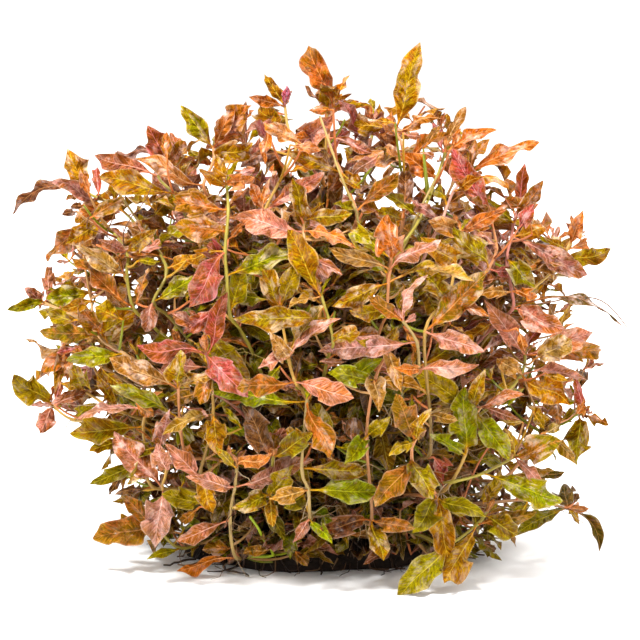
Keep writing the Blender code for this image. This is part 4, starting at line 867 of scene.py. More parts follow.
def pair_forms(place, turn, rand, length, tones, lean):
    """Two leaves that face each other across a stem."""
    forms = []
    outward = Vector((place.x, place.y * 1.3, 0.0))
    outward = outward.normalized() if outward.length > 1.0 else Vector((0.0, -1.0, 0.0))
    for side in (0.0, math.pi):
        level = (heading(turn + side + rand.uniform(-0.3, 0.3)) + 0.25 * outward).normalized()
        rise = math.radians(rand.gauss(lean, 16.0))
        long = length * rand.uniform(0.8, 1.15)
        reach = (level * math.cos(rise) + Vector((0.0, 0.0, math.sin(rise)))) * long
        roll = Vector((rand.uniform(-0.4, 0.4), rand.uniform(-0.4, 0.4), 1.0)) + 0.45 * outward
        width = long / LEAF_SLENDERNESS * rand.uniform(0.85, 1.15)
        bow = rand.uniform(0.04, 0.15)
        forms.append(leaf_form(place, place + reach, width, roll, bow, rand.choice(tones)))
    return forms


def kept(form, hidden):
    """Whether a leaf that follows a rule stays inside the bush, and behind its face where hidden isn't 0."""
    tip = form["tip"]
    if tip.z < 3.0 or not within_outline(tip) or not within_outline((form["base"] + tip) / 2.0):
        return False
    return not hidden or tip.y > -hidden * front_depth(*shown(tip))


def leaf_spine(form, rand, length, share, wave):
    """A leaf's midrib, swaying and curling, with the ways up and sideways from it."""
    base, pull, tip, up = (np.array(form[key]) for key in ("base", "pull", "tip", "up"))
    swing = np.sin(2.0 * math.pi * share)
    sway = rand.gauss(0.0, LEAF_SWAY) * length * swing
    rise = rand.gauss(0.0, LEAF_RISE) * length * swing
    curl = wave * rand.gauss(*LEAF_CURL) * length * share ** 2.5
    middle = bend(base, pull, tip, share) + sway * unit(np.cross(tip - base, up)) + (rise + curl) * up
    along = unit(np.gradient(middle, axis=0))
    normal = unit(up - along * (along @ up)[:, None])
    right = np.cross(along, normal)
    twist = math.radians(rand.gauss(0.0, LEAF_TWIST)) * (share - 0.35)
    cos, sin = np.cos(twist), np.sin(twist)
    return middle, normal * cos + right * sin, right * cos - normal * sin


def waves(rand, turn, phase, table):
    """Waves along a leaf's edge, from a table of them."""
    rows = ((size, rand.uniform(slow, fast), shift) for size, slow, fast, shift in table)
    return sum(size * np.sin(turn * pace + shift * phase) for size, pace, shift in rows)


def blade_width(share, lean, fullness):
    """A leaf's half width along it as a share of its widest, narrow at the petiole and blunt at the tip."""
    blade = np.clip((share - PETIOLE_SHARE) / (1.0 - PETIOLE_SHARE), 0.0, 1.0)
    return np.sin(math.pi * blade ** lean) ** fullness


def leaf_blade(form, rand, share, across, wave):
    """A leaf's half width along it, and how far its points lie sideways from the midrib and above it."""
    half = form["width"] / 2.0
    width = half * blade_width(share, rand.uniform(*BLADE_LEAN), rand.uniform(*BLADE_FULLNESS))
    width = np.maximum(width, PETIOLE_WIDTH / 2.0 * np.clip(1.0 - 1.1 * share, 0.12, 1.0))
    edge = np.abs(across)
    turn = 2.0 * math.pi * share
    phase = np.where(across < 0.0, rand.uniform(0.0, 6.3), rand.uniform(0.0, 6.3))
    sideways = across * width * (1.0 + waves(rand, turn, phase, EDGE_RIPPLES) * edge)
    fold = rand.uniform(*BLADE_FOLD) * (1.0 if rand.random() < FOLDED_UP else -0.6)
    depth = wave * half * rand.uniform(*WAVE_DEPTH)
    strength = depth * (width / half) * edge ** 1.7
    return width, sideways, fold * edge * width + strength * waves(rand, turn, phase, EDGE_WAVES)


def leaf_ends(upper, lower, length, middle):
    """The faces that close a leaf at its two ends, each in a small box of its own on the map."""
    rows, columns = upper.shape[0] - 1, upper.shape[1] - 1
    for row, out in ((0, -CAP_MAP), (rows, CAP_MAP)):
        for column in range(columns):
            face = (upper[row, column], upper[row, column + 1], lower[row, column + 1], lower[row, column])
            face = list(dict.fromkeys(face))
            low = middle + CAP_MAP * (column - columns / 2.0)
            box = ((0.0, low), (0.0, low + CAP_MAP), (out, low + CAP_MAP), (out, low))
            spots = [(row / rows * length + x, y) for x, y in box[:len(face)]]
            yield np.array([face if row else face[::-1]]), np.array([spots])


def add_leaf(growth, form, rand, light=1.0, wave=1.0, grid=None):
    """One leaf as a closed shell: a petiole, a wavy blade folded along its midrib, and a tip."""
    length = (form["tip"] - form["base"]).length
    rows, columns = grid or (SMALL_LEAF_GRID if length < SMALL_LEAF else LEAF_GRID)
    share = np.linspace(0.0, 1.0, rows + 1)[:, None]
    across = np.linspace(-1.0, 1.0, columns + 1)[None, :]
    edge = np.abs(across)
    wave = wave * form["curl"]
    middle, normal, right = leaf_spine(form, rand, length, share, wave)
    width, sideways, lift = leaf_blade(form, rand, share, across, wave)
    body = LEAF_THICKNESS + (1.0 - LEAF_THICKNESS) * np.clip(1.0 - share / (2.0 * PETIOLE_SHARE), 0.0, 1.0)
    body = body * np.minimum(1.0, width / THIN_BLADE) * (1.0 - edge ** 2) / 2.0
    flat = middle[:, None, :] + right[:, None, :] * sideways[..., None]
    top = flat + normal[:, None, :] * (lift + body)[..., None]
    under = (flat + normal[:, None, :] * (lift - body)[..., None])[:, 1:-1]
    top[..., 2] = np.maximum(top[..., 2], GROUND_CLEARANCE)
    under[..., 2] = np.maximum(under[..., 2], GROUND_CLEARANCE / 2.0)
    place = layered(share * length, across * width, seed_and_painted_sheen(rand, form["pull"]))
    # light darkens the leaf's colours: painted shade deeper in the bush
    marks = tinted(form["tone"], rand, light, form["pull"])
    marks["place"] = listed(place, place[:, 1:-1])
    marks["share"] = listed(layered(share, edge, 0.0), layered(share, edge[:, 1:-1], 1.0))
    upper = np.arange(lift.size).reshape(lift.shape)
    lower = upper.copy()
    lower[:, 1:-1] = upper.size + np.arange(lower[:, 1:-1].size).reshape(rows + 1, columns - 1)
    half = form["width"] / 2.0 * BLADE_MAP
    spots = layered(share * length, across * width + half)
    size = (length, form["width"] * BLADE_MAP)
    growth.add(listed(top, under), marks, [
        ([(quads(upper), quads(spots)), *leaf_ends(upper, lower, length, half)], size),
        ([(quads(lower, True), quads(spots, True))], size),
    ], LEAF_SLOT)


def smooth_route(places, step):
    """Points every step along a smooth curve through the places, and each place's distance along it."""
    held = [places[0] * 2.0 - places[1], *places, places[-1] * 2.0 - places[-2]]
    route = [np.array(places[0])]
    marks = [0.0]
    gone = 0.0
    for corners in zip(held, held[1:], held[2:], held[3:]):
        p0, p1, p2, p3 = (np.array(corner) for corner in corners)
        pieces = max(1, round(np.linalg.norm(p2 - p1) / step))
        for piece in range(1, pieces + 1):
            t = piece / pieces
            point = 0.5 * (
                2.0 * p1 + (p2 - p0) * t + (2.0 * p0 - 5.0 * p1 + 4.0 * p2 - p3) * t ** 2
                + (3.0 * p1 - p0 - 3.0 * p2 + p3) * t ** 3
            )
            gone += np.linalg.norm(point - route[-1])
            route.append(point)
        marks.append(gone)
    return np.array(route), marks


def fan(ring, centre, around, reach, turned):
    """The faces that close a tube's end round its middle point."""
    tip = reach + (-CAP_MAP if turned else CAP_MAP)
    faces = [(*(pair[::-1] if turned else pair), centre) for pair in zip(ring, ring[1:])]
    spots = [((reach, low), (reach, high), (tip, low)) for low, high in zip(around, around[1:])]
    return np.array(faces), np.array(spots)


def add_tube(growth, route, radii, colours, sides, rand):
    """A closed tube along a route. Its map patches are lengths of it, rolled out flat."""
    along = unit(np.gradient(route, axis=0))
    out = along[0][[1, 2, 0]]
    turn = 2.0 * math.pi * np.arange(sides)[:, None] / sides
    rings = []
    for centre, direction, radius in zip(route, along, radii):
        out = unit(out - direction * out.dot(direction))
        rings.append(centre + radius * (np.cos(turn) * out + np.sin(turn) * np.cross(direction, out)))
    points = listed(*rings, route[0] - along[0] * radii[0] * 0.6, route[-1] + along[-1] * radii[-1])
    grid = np.arange(len(route) * sides).reshape(len(route), sides)
    grid = np.hstack([grid, grid[:, :1]])
    girth = 2.0 * math.pi * float(max(radii))
    around = np.arange(sides + 1) * girth / sides
    gone = distances(route)
    share = np.linspace(0.0, 1.0, len(route))[:, None]
    seed = rand.random()
    marks = {
        **colours,
        "place": listed(layered(gone[:, None], around[:-1], seed), (0.0, 0.0, seed), (gone[-1], 0.0, seed)),
        "share": listed(layered(share, 0.0 * around[:-1], 0.0), (0.0, 0.0, 0.0), (1.0, 0.0, 0.0)),
    }
    patches = []
    stretch = max(1, int(MAP_STRIP / max(gone[1] - gone[0], 0.5)))
    for first in range(0, len(route) - 1, stretch):
        last = min(first + stretch, len(route) - 1)
        reach = gone[first:last + 1] - gone[first]
        groups = [(quads(grid[first:last + 1]), quads(layered(reach[:, None], around)))]
        if first == 0:
            groups.append(fan(grid[0], len(points) - 2, around, 0.0, True))
        if last == len(route) - 1:
            groups.append(fan(grid[-1], len(points) - 1, around, reach[-1], False))
        patches.append((groups, (reach[-1] + CAP_MAP, girth)))
    growth.add(points, marks, patches, STEM_SLOT)


def add_taper(growth, route, first, last, colours, sides, rand):
    """A tube that thins evenly from its first radius to its last."""
    add_tube(growth, np.array(route), np.linspace(first, last, len(route)), colours, sides, rand)


def add_thread(growth, start, way, length, radius, colours, rand):
    """One thin root or stem end that wanders as it goes and keeps above the ground."""
    steps = max(4, int(length / 4.0))
    point, way = Vector(start), way.normalized()
    route = [np.array(point)]
    for _ in range(steps):
        wander = Vector((rand.gauss(0.0, 0.35), rand.gauss(0.0, 0.35), rand.gauss(0.0, 0.25)))
        way = (way + wander).normalized()
        point = point + way * length / steps
        point.z = max(point.z, 1.0)
        route.append(np.array(point))
    # The small shift keeps two points from falling together where a thread ends on the ground
    route = np.array(route) + np.linspace(0.0, 0.01, len(route))[:, None]
    add_taper(growth, route, radius, 0.45 * radius, colours, 4, rand)


def clump_radius(angle):
    """The clump's outline, as a share of its half width and half depth."""
    return 1.0 + 0.05 * math.sin(3.0 * angle + 0.6) + 0.04 * math.sin(7.0 * angle + 2.0)


def clump_height(share, angle):
    """The clump's height where share is 0 in its middle and 1 at its edge."""
    dome = math.sqrt(max(0.0, 1.0 - share ** 2.4))
    lumps = math.sin(5.0 * angle + 9.0 * share) * math.sin(8.0 * share + 1.3)
    return CLUMP_LIP + (CLUMP_HEIGHT - CLUMP_LIP) * dome * (1.0 + 0.13 * lumps)


def clump_top(x, y):
    """The clump's height at a place, or the ground's outside it."""
    angle = math.atan2(y / CLUMP_HALF_DEPTH, x / CLUMP_HALF_WIDTH)
    share = math.hypot(x / CLUMP_HALF_WIDTH, y / CLUMP_HALF_DEPTH) / clump_radius(angle)
    return clump_height(share, angle) if share < 1.0 else 0.0


def clump_place(share, angle):
    """The x and y at an angle and at a share of the clump's half width and half depth."""
    return CLUMP_HALF_WIDTH * share * math.cos(angle), CLUMP_HALF_DEPTH * share * math.sin(angle)


def add_mass(growth, rand):
    """The clump's dark lumpy mass, with its top, its underside and its wall apart on the map."""
    rings, steps = CLUMP_GRID
    points = [(0.0, 0.0, CLUMP_HEIGHT)]
    spread = [(0.0, 0.0)]
    for ring in range(1, rings + 1):
        share = math.sin(0.5 * math.pi * ring / rings)
        for step in range(steps):
            angle = 2.0 * math.pi * step / steps
            cos, sin = math.cos(angle), math.sin(angle)
            reach = share * clump_radius(angle)
            rough = rand.gauss(0.0, CLUMP_ROUGHNESS)
            points.append((
                (CLUMP_HALF_WIDTH + rough) * reach * cos,
                (CLUMP_HALF_DEPTH + rough) * reach * sin,
                max(2.0, clump_height(share, angle) + rand.gauss(0.0, CLUMP_LUMPINESS)),
            ))
            spread.append((ring / rings * cos, ring / rings * sin))
    points += [(CLUMP_TAPER * x, CLUMP_TAPER * y, 0.0) for x, y, _ in points[-steps:]]
    points = np.array(points + [(0.0, 0.0, 0.0)])
    grid = (1 + np.arange((rings + 1) * steps)).reshape(rings + 1, steps)
    grid = np.hstack([grid, grid[:, :1]])
    top = quads(grid[:-1].T)
    peak = layered(0, grid[0, :-1], grid[0, 1:])
    base = layered(len(points) - 1, grid[-1, 1:], grid[-1, :-1])
    half = np.array((CLUMP_HALF_WIDTH, CLUMP_HALF_DEPTH))
    over = (np.array(spread) + CLUMP_MAP) * half
    under = points[:, :2] + CLUMP_MAP * half
    size = tuple(2.5 * half)
    strip = quads(layered(WALL_STEP * np.arange(WALL_STRIP + 1)[:, None], np.array((WALL_HEIGHT, 0.0))))
    walls = [
        ([(quads(grid[-2:, first:first + WALL_STRIP + 1].T), strip)], (WALL_STRIP * WALL_STEP, WALL_HEIGHT))
        for first in range(0, steps, WALL_STRIP)
    ]
    sides = [([(top, over[top]), (peak, over[peak])], size), ([(base, under[base])], size)] + walls
    marks = {**shades(CLUMP_COLOUR, 0.45, 1.6), "place": points, "share": (0.0, 0.0, 0.0)}
    growth.add(points, marks, sides, ROOT_SLOT)


def add_clump():
    """The root clump: the dark mass with a tangle of roots over it and old stem ends."""
    rand = random.Random(SEED)
    growth = Growth()
    add_mass(growth, rand)
    browns = [shades(colour, 0.5, 1.4) for colour in ROOT_COLOURS]
    for _ in range(ROOT_COUNT):
        angle = any_angle(rand)
        share = math.sqrt(rand.random()) * 0.98
        x, y = clump_place(share * clump_radius(angle), angle)
        spot = Vector((x, y, max(2.5, clump_top(x, y) - 1.0)))
        route = [np.array(spot)]
        turn = angle + rand.gauss(0.0, 0.9)
        for _ in range(rand.randint(*ROOT_STEPS)):
            turn += rand.gauss(0.0, 0.35)
            spot = spot + heading(turn) * ROOT_STEP
            spot.z = max(1.2, clump_top(spot.x, spot.y) + rand.uniform(0.2, 2.2))
            route.append(np.array(spot))
        radius = rand.choice(ROOT_RADII)
        add_taper(growth, route, radius, radius * 0.5, rand.choice(browns), 5, rand)
    for _ in range(STUB_COUNT):
        angle = any_angle(rand)
        share = math.sqrt(rand.random()) * 0.9
        x, y = clump_place(share, angle)
        way = Vector((0.5 * math.cos(angle) * share, 0.5 * math.sin(angle) * share, 1.0))
        length, radius = rand.uniform(*STUB_LENGTH), rand.uniform(*STUB_RADIUS)
        add_thread(growth, (x, y, clump_top(x, y) - 2.0), way, length, radius, rand.choice(browns), rand)
    return growth


def clear_foot(x, y, taken):
    """A foot near the wanted place and clear of the stems that stand there already."""
    outside = max(1.0, math.hypot(x / CLUMP_HALF_WIDTH, y / CLUMP_HALF_DEPTH) / FOOT_REACH)
    for step in range(900):
        angle = 2.4 * step
        reach = 1.3 * math.sqrt(step)
        near_x = x / outside + reach * math.cos(angle)
        near_y = y / outside + reach * math.sin(angle)
        share = math.hypot(near_x / CLUMP_HALF_WIDTH, near_y / CLUMP_HALF_DEPTH)
        clear = all(math.hypot(near_x - a, near_y - b) >= FOOT_SPACING for a, b in taken)
        if share <= FOOT_REACH + 0.01 and clear:
            taken.append((near_x, near_y))
            return Vector((near_x, near_y, clump_top(near_x, near_y)))
    raise ValueError("no room for a foot")


def stem_curve(foot, first, spread, sunk):
    """The curve of a stem from its foot to its first node: upright at first, then leaning."""
    pull = Vector((foot.x * spread, foot.y * sunk, foot.z + 0.6 * (first.z - foot.z)))
    count = max(1, round((first - foot).length / 12.0))
    return [bend(foot, pull, first, step / count) for step in range(count)]


class Shoot:
    """One shoot: its name, its nodes as places with leaves, its stem's route, its twigs and its strands."""

    def __init__(self, name, foot, nodes, is_front):
        self.name = name
        self.nodes = nodes
        self.is_front = is_front
        self.twigs = []
        self.strands = []
        above = [place for place, _ in nodes]
        sunk = Vector((foot.x, foot.y, max(2.0, foot.z - FOOT_DEPTH)))
        spread, inward = (1.0, FRONT_SINK) if is_front else (BACK_SPREAD, BACK_SPREAD)
        places = [sunk] + stem_curve(foot, above[0], spread, inward) + above
        beyond = places[-1] + (places[-1] - places[-2]).normalized() * STEM_END
        self.route, self.marks = smooth_route(places + [beyond], STEM_STEP)
        self.reach = distances(self.route)


def all_shoots():
    """Every shoot with its stem, the front's first."""
    taken = []
    found = []
    for name, rows in FRONT_SHOOTS.items():
        nodes = [(in_front(u, v, near), leaves) for u, v, near, *leaves in rows]
        lowest = nodes[0][0]
        foot = clear_foot(FOOT_SPREAD * lowest.x, FOOT_SPREAD * lowest.y, taken)
        found.append(Shoot(name, foot, nodes, True))
    for name, tips in BACK_TIPS.items():
        for item, tip in enumerate(tips):
            foot = clear_foot(BACK_FOOT_SPREAD * tip[0], BACK_FOOT_SPREAD * tip[1], taken)
            found.append(Shoot(f"{name}_{item + 1}", foot, [(Vector(tip), ())], False))
    return found


def add_stem(growth, shoot, rand):
    """A shoot's stem, swollen at its nodes and brown low down."""
    share = shoot.reach / shoot.reach[-1]
    gap = shoot.reach[:, None] - np.array(shoot.marks[-1 - len(shoot.nodes):-1])
    swelling = NODE_SWELLING * np.exp(-(gap / SWELLING_REACH) ** 2).max(axis=1)
    radii = STEM_RADIUS_LOW + (STEM_RADIUS_HIGH - STEM_RADIUS_LOW) * share
    radii = radii * (1.0 + swelling) * np.where(share > 0.985, 0.7, 1.0)
    main, _, rib = TONES[STEM_TONES.get(shoot.name, rand.choice(OTHER_STEM_TONES))]
    low = np.array(LOW_STEM)
    high = 0.4 * np.array(main) + 0.22 * np.array(rib) + 0.2 * np.array(TONES["tan"][0])
    start = -0.1 if shoot.name in STEM_TONES else 0.45
    blend = np.clip(share * 1.8 - start, 0.0, 1.0)[:, None]
    ring = np.repeat(low * (1.0 - blend) + high * blend, STEM_SIDES, axis=0)
    add_tube(growth, shoot.route, radii, shades(listed(ring, low, high), 0.72, 1.25), STEM_SIDES, rand)


def add_rule_leaves(growth, shoot, rand):
    """Pairs of leaves at the nodes that the front view doesn't give, and at the top of the back's shoots."""
    if shoot.is_front:
        tones, hidden, size = INNER_TONES, HIDDEN_SHARE, FRONT_RULE_SIZE
    else:
        tones, hidden, size = OUTER_TONES, 0.0, 1.0
    turn = rand.uniform(0.0, math.pi)
    given = [np.array(place) for place, leaves in shoot.nodes if leaves]
    last = shoot.reach[-1] - 4.0
    gone = 0.0
    while gone < last:
        gone += LOW_NODE_STEP * rand.uniform(0.85, 1.15)
        point = point_at(shoot.route, shoot.reach, gone)
        place = Vector(point)
        turn += math.pi / 2.0
        near_given = any(np.linalg.norm(point - other) < 0.45 * LOW_NODE_STEP for other in given)
        if point[2] < LOWEST_NODE or gone > last or near_given:
            continue
        # light darkens these leaves' colours as painted shade: a little on the back's shoots, and on the
        # front's more the deeper they lie behind the front face and in the low middle
        light = 0.9
        if shoot.is_front:
            depth = min(1.0, max(0.0, -point[1] / max(20.0, front_depth(*shown(place)))))
            light = (0.62 + 0.38 * depth) * painted_low_shade(place)
        top = gone / shoot.reach[-1]
        length = rand.uniform(*RULE_LENGTH) * size * (1.0 - 0.2 * top)
        for form in pair_forms(place, turn, rand, length, tones, -4.0 + 34.0 * top):
            if kept(form, hidden):
                add_leaf(growth, form, rand, light, RULE_WAVE, RULE_LEAF_GRID)
    if not shoot.is_front:
        for length, tones, lean in ((30.0, OUTER_TONES, 48.0), (24.0, BUD_TONES, 60.0)):
            for form in pair_forms(Vector(shoot.route[-2]), turn, rand, length, tones, lean):
                add_leaf(growth, form, rand, grid=RULE_LEAF_GRID)
            turn += math.pi / 2.0


def add_bud(growth, place, way, rand, grid, size=1.0):
    """The small young leaves round a tip."""
    way = way.normalized()
    first, second = across_frame(way, Vector((0.3, -1.0, 0.2)))
    turn = rand.uniform(0.0, 6.3)
    for item in range(4):
        angle = turn + item * math.pi / 2.0
        out = math.cos(angle) * first + math.sin(angle) * second
        long = rand.uniform(*BUD_LENGTH) * size
        reach = (way * rand.uniform(0.8, 1.3) + out * rand.uniform(0.5, 0.9)).normalized() * long
        width = long / rand.uniform(2.6, 3.8)
        form = leaf_form(place, place + reach, width, way - out, 0.06, rand.choice(BUD_TONES))
        add_leaf(growth, form, rand, 1.0, 0.5, grid)


def add_node_roots(growth, shoot, rand):
    """The thin pale roots that a stem's low nodes send out."""
    gone = 0.0
    while gone < shoot.reach[-1]:
        gone += NODE_ROOT_STEP * rand.uniform(0.6, 1.4)
        point = Vector(point_at(shoot.route, shoot.reach, gone))
        if point.z > NODE_ROOT_TOP or rand.random() < 0.2:
            continue
        for _ in range(rand.randint(1, 3)):
            way = heading(any_angle(rand), rand.uniform(-1.6, 0.2))
            colours = shades(rand.choice(NODE_ROOT_TONES), 0.6, 1.3)
            length, radius = rand.uniform(*NODE_ROOT_LENGTH), rand.uniform(*NODE_ROOT_RADIUS)
            add_thread(growth, point, way, length, radius, colours, rand)


def add_twig(growth, rand, join, place, forms, light=1.0, wave=1.0, grid=None, bud=False):
    """A side twig from a stem to a place between the shoots, with its leaves."""
    start = Vector(join)
    length = (place - start).length
    if length > 3.0:
        pull = start * 0.5 + place * 0.5 + Vector((0.0, 0.0, -0.16 * length))
        count = max(3, int(length / 7.0))
        route = [bend(start, pull, place, step / count) for step in range(count + 1)]
        # light darkens the twig's colour and its leaves': painted shade
        colours = shades(np.array(TONES[rand.choice(TWIG_TONES)][0]) * light)
        add_taper(growth, route, *TWIG_RADII, colours, 5, rand)
    for form in forms:
        add_leaf(growth, form, rand, light, wave, grid)
    if bud:
        add_bud(growth, place, place - start + Vector((0.0, 0.0, 12.0)), rand, BUD_LEAF_GRID, 0.85)


def add_shoot(shoot):
    """One shoot's stem, the leaves that the front view gives, those that follow a rule, and its twigs."""
    rand = random.Random(f"{SEED} {shoot.name}")
    growth = Growth()
    add_stem(growth, shoot, rand)
    for place, leaves in shoot.nodes:
        for row in leaves:
            add_leaf(growth, front_leaf(place, *row), rand)
    add_rule_leaves(growth, shoot, rand)
    add_bud(growth, Vector(shoot.route[-2]), Vector(shoot.route[-1] - shoot.route[-3]), rand, SMALL_LEAF_GRID)
    add_node_roots(growth, shoot, rand)
    for tone, radius, places in shoot.strands:
        line, _ = smooth_route(places, STEM_STEP)
        add_taper(growth, line, radius, 0.75 * radius, shades(TONES[tone][0]), 6, rand)
    for twig in shoot.twigs:
        add_twig(growth, rand, *twig)
    return growth


class Stems:
    """The points of all stems, which twigs grow from."""

    def __init__(self, shoots):
        self.points = np.concatenate([shoot.route[4:-2] for shoot in shoots])
        self.owners = [shoot for shoot in shoots for _ in shoot.route[4:-2]]

    def nearest(self, place):
        """The point that a twig to a place grows from, near and rather below it, its shoot and its gap."""
        gap = self.points - np.array(place)
        cost = np.linalg.norm(gap, axis=1) + 1.5 * np.maximum(gap[:, 2] + 4.0, 0.0)
        best = int(np.argmin(cost))
        return self.points[best], self.owners[best], float(np.linalg.norm(gap[best]))


def plan_small_leaves(stems, rand):
    """Gives the shoots the smaller leaves of the front view. Those with one base share a twig."""
    placed = {}
    for tone, rows in SMALL_LEAVES.items():
        for u, v, tip_u, tip_v, width in rows:
            key = (round(u / 5.0), round(v / 5.0))
            if key not in placed:
                placed[key] = (in_front(u, v, rand.uniform(*SMALL_NEARNESS)), [])
            placed[key][1].append((tip_u, tip_v, width, tone))
    for place, leaves in placed.values():
        place.z = max(place.z, 4.0)
        join, owner, _ = stems.nearest(place)
        forms = [
            front_leaf(place, *row, rand.uniform(*SMALL_FORWARD), rand.uniform(*SMALL_BOW)) for row in leaves
        ]
        owner.twigs.append((join, place, forms))


def plan_strands(stems):
    """Gives the shoots the bare stems of the front view."""
    for tone, radius, near, *line in STRANDS:
        places = [in_front(u, v, near) for u, v in line]
        join, owner, gap = stems.nearest(places[0])
        start = [Vector(join)] if gap > 1.0 else []
        owner.strands.append((tone, radius, start + places))


def crown_share(place):
    """The share of the closing twigs that a height of the bush keeps: its crown is looser."""
    _, v = shown(place)
    return min(1.0, max(CROWN_SHARE, 1.0 - (1.0 - CROWN_SHARE) * (v - CROWN_START) / 40.0))


def region_tones(u, v):
    """The tones that leaves have in a region of the front view."""
    if v > 200.0:
        return CROWN_TONES
    if v < 75.0:
        return LOW_TONES
    if abs(u) < 60.0:
        return CENTRE_TONES
    return LEFT_TONES if u < 0.0 else RIGHT_TONES


def fill_places(rand):
    """Places in layers all through the bush: the layer's share, the height and depth in it, and the place."""
    for share, count in FILL_LAYERS:
        for item in range(count):
            height = 1.0 - 2.0 * (item + 0.5) / count
            angle = GOLDEN_ANGLE * item + 7.0 * share
            level = math.sqrt(1.0 - height * height)
            way = Vector((level * math.cos(angle), level * math.sin(angle), height))
            near = share * rand.uniform(*FILL_SPREAD)
            if way.y < 0.0 and share > FRONT_SHARE:
                continue
            reach = BUSH_RISE if height > 0.0 else BUSH_DROP
            place = Vector((BUSH_HALF_WIDTH * way.x, BUSH_HALF_DEPTH * way.y, reach * height)) * near
            place.z += BUSH_MIDDLE
            if place.z >= LOWEST_FILL and within_outline(place) and rand.random() <= crown_share(place):
                yield share, height, way.y, place


def plan_fill(stems, rand):
    """Gives the shoots the twigs that close the bush all round."""
    for share, height, depth, place in fill_places(rand):
        join, owner, gap = stems.nearest(place)
        if gap > LONGEST_TWIG:
            continue
        outer = share > INNER_SHARE
        tones = region_tones(*shown(place)) if depth < 0.35 else OUTER_TONES
        length = rand.uniform(*(OUTER_FILL_LENGTH if outer else INNER_FILL_LENGTH))
        lean = 12.0 + 32.0 * height + rand.gauss(0.0, 14.0)
        forms = pair_forms(place, rand.uniform(0.0, 3.1), rand, length, tones, lean)
        if gap > LONG_TWIG:
            middle = Vector(join) * 0.45 + place * 0.55
            middle.z -= 0.07 * gap
            forms += pair_forms(middle, rand.uniform(0.0, 3.1), rand, 0.85 * length, tones, lean - 14.0)
        forms = [form for form in forms if kept(form, HIDDEN_SHARE if depth < 0.0 else 0.0)]
        # Painted shade: the leaves' and the twig's colours are darker the deeper their layer lies, and in the
        # low middle
        light = (INNER_PAINTED_LIGHT + (1.0 - INNER_PAINTED_LIGHT) * share) * painted_low_shade(place)
        bud = depth > 0.0 and share > 0.8 or rand.random() < 0.25
        grid = TWIG_LEAF_GRID if outer else INNER_LEAF_GRID
        owner.twigs.append((join, place, forms, light, RULE_WAVE, grid, bud))


def plan_litter(stems, rand):
    """Gives the shoots the small dark leaves that lie round the clump, their colours darkened further as
    painted shade.
    """
    for _ in range(LITTER_COUNT):
        angle = any_angle(rand)
        place = Vector((*clump_place(rand.uniform(*LITTER_REACH), angle), rand.uniform(*LITTER_HEIGHT)))
        join, owner, gap = stems.nearest(place)
        if gap > LITTER_GAP:
            continue
        forms = pair_forms(
            place, rand.uniform(0.0, 3.1), rand, rand.uniform(*LITTER_LENGTH), LITTER_TONES, -12.0,
        )
        forms = [form for form in forms if form["tip"].z > 2.0 and within_outline(form["tip"])]
        owner.twigs.append((join, place, forms, LITTER_PAINTED_LIGHT, RULE_WAVE, TWIG_LEAF_GRID))


class Value:
    """A shader socket that Python's own operators work on, by adding Math nodes."""

    def __init__(self, shader, socket):
        self.shader = shader
        self.socket = socket

    def math(self, operation, first, second):
        return self.shader.node("ShaderNodeMath", {"operation": operation}, {0: first, 1: second})

    def __add__(self, other):
        return self.math("ADD", self, other)

    def __sub__(self, other):
        return self.math("SUBTRACT", self, other)

    def __mul__(self, other):
        return self.math("MULTIPLY", self, other)

    def __truediv__(self, other):
        return self.math("DIVIDE", self, other)

    def __radd__(self, other):
        return self.math("ADD", other, self)

    def __rsub__(self, other):
        return self.math("SUBTRACT", other, self)

    def __rmul__(self, other):
        return self.math("MULTIPLY", other, self)

    def __rtruediv__(self, other):
        return self.math("DIVIDE", other, self)

    def __abs__(self):
        return self.math("ABSOLUTE", self, 0.0)


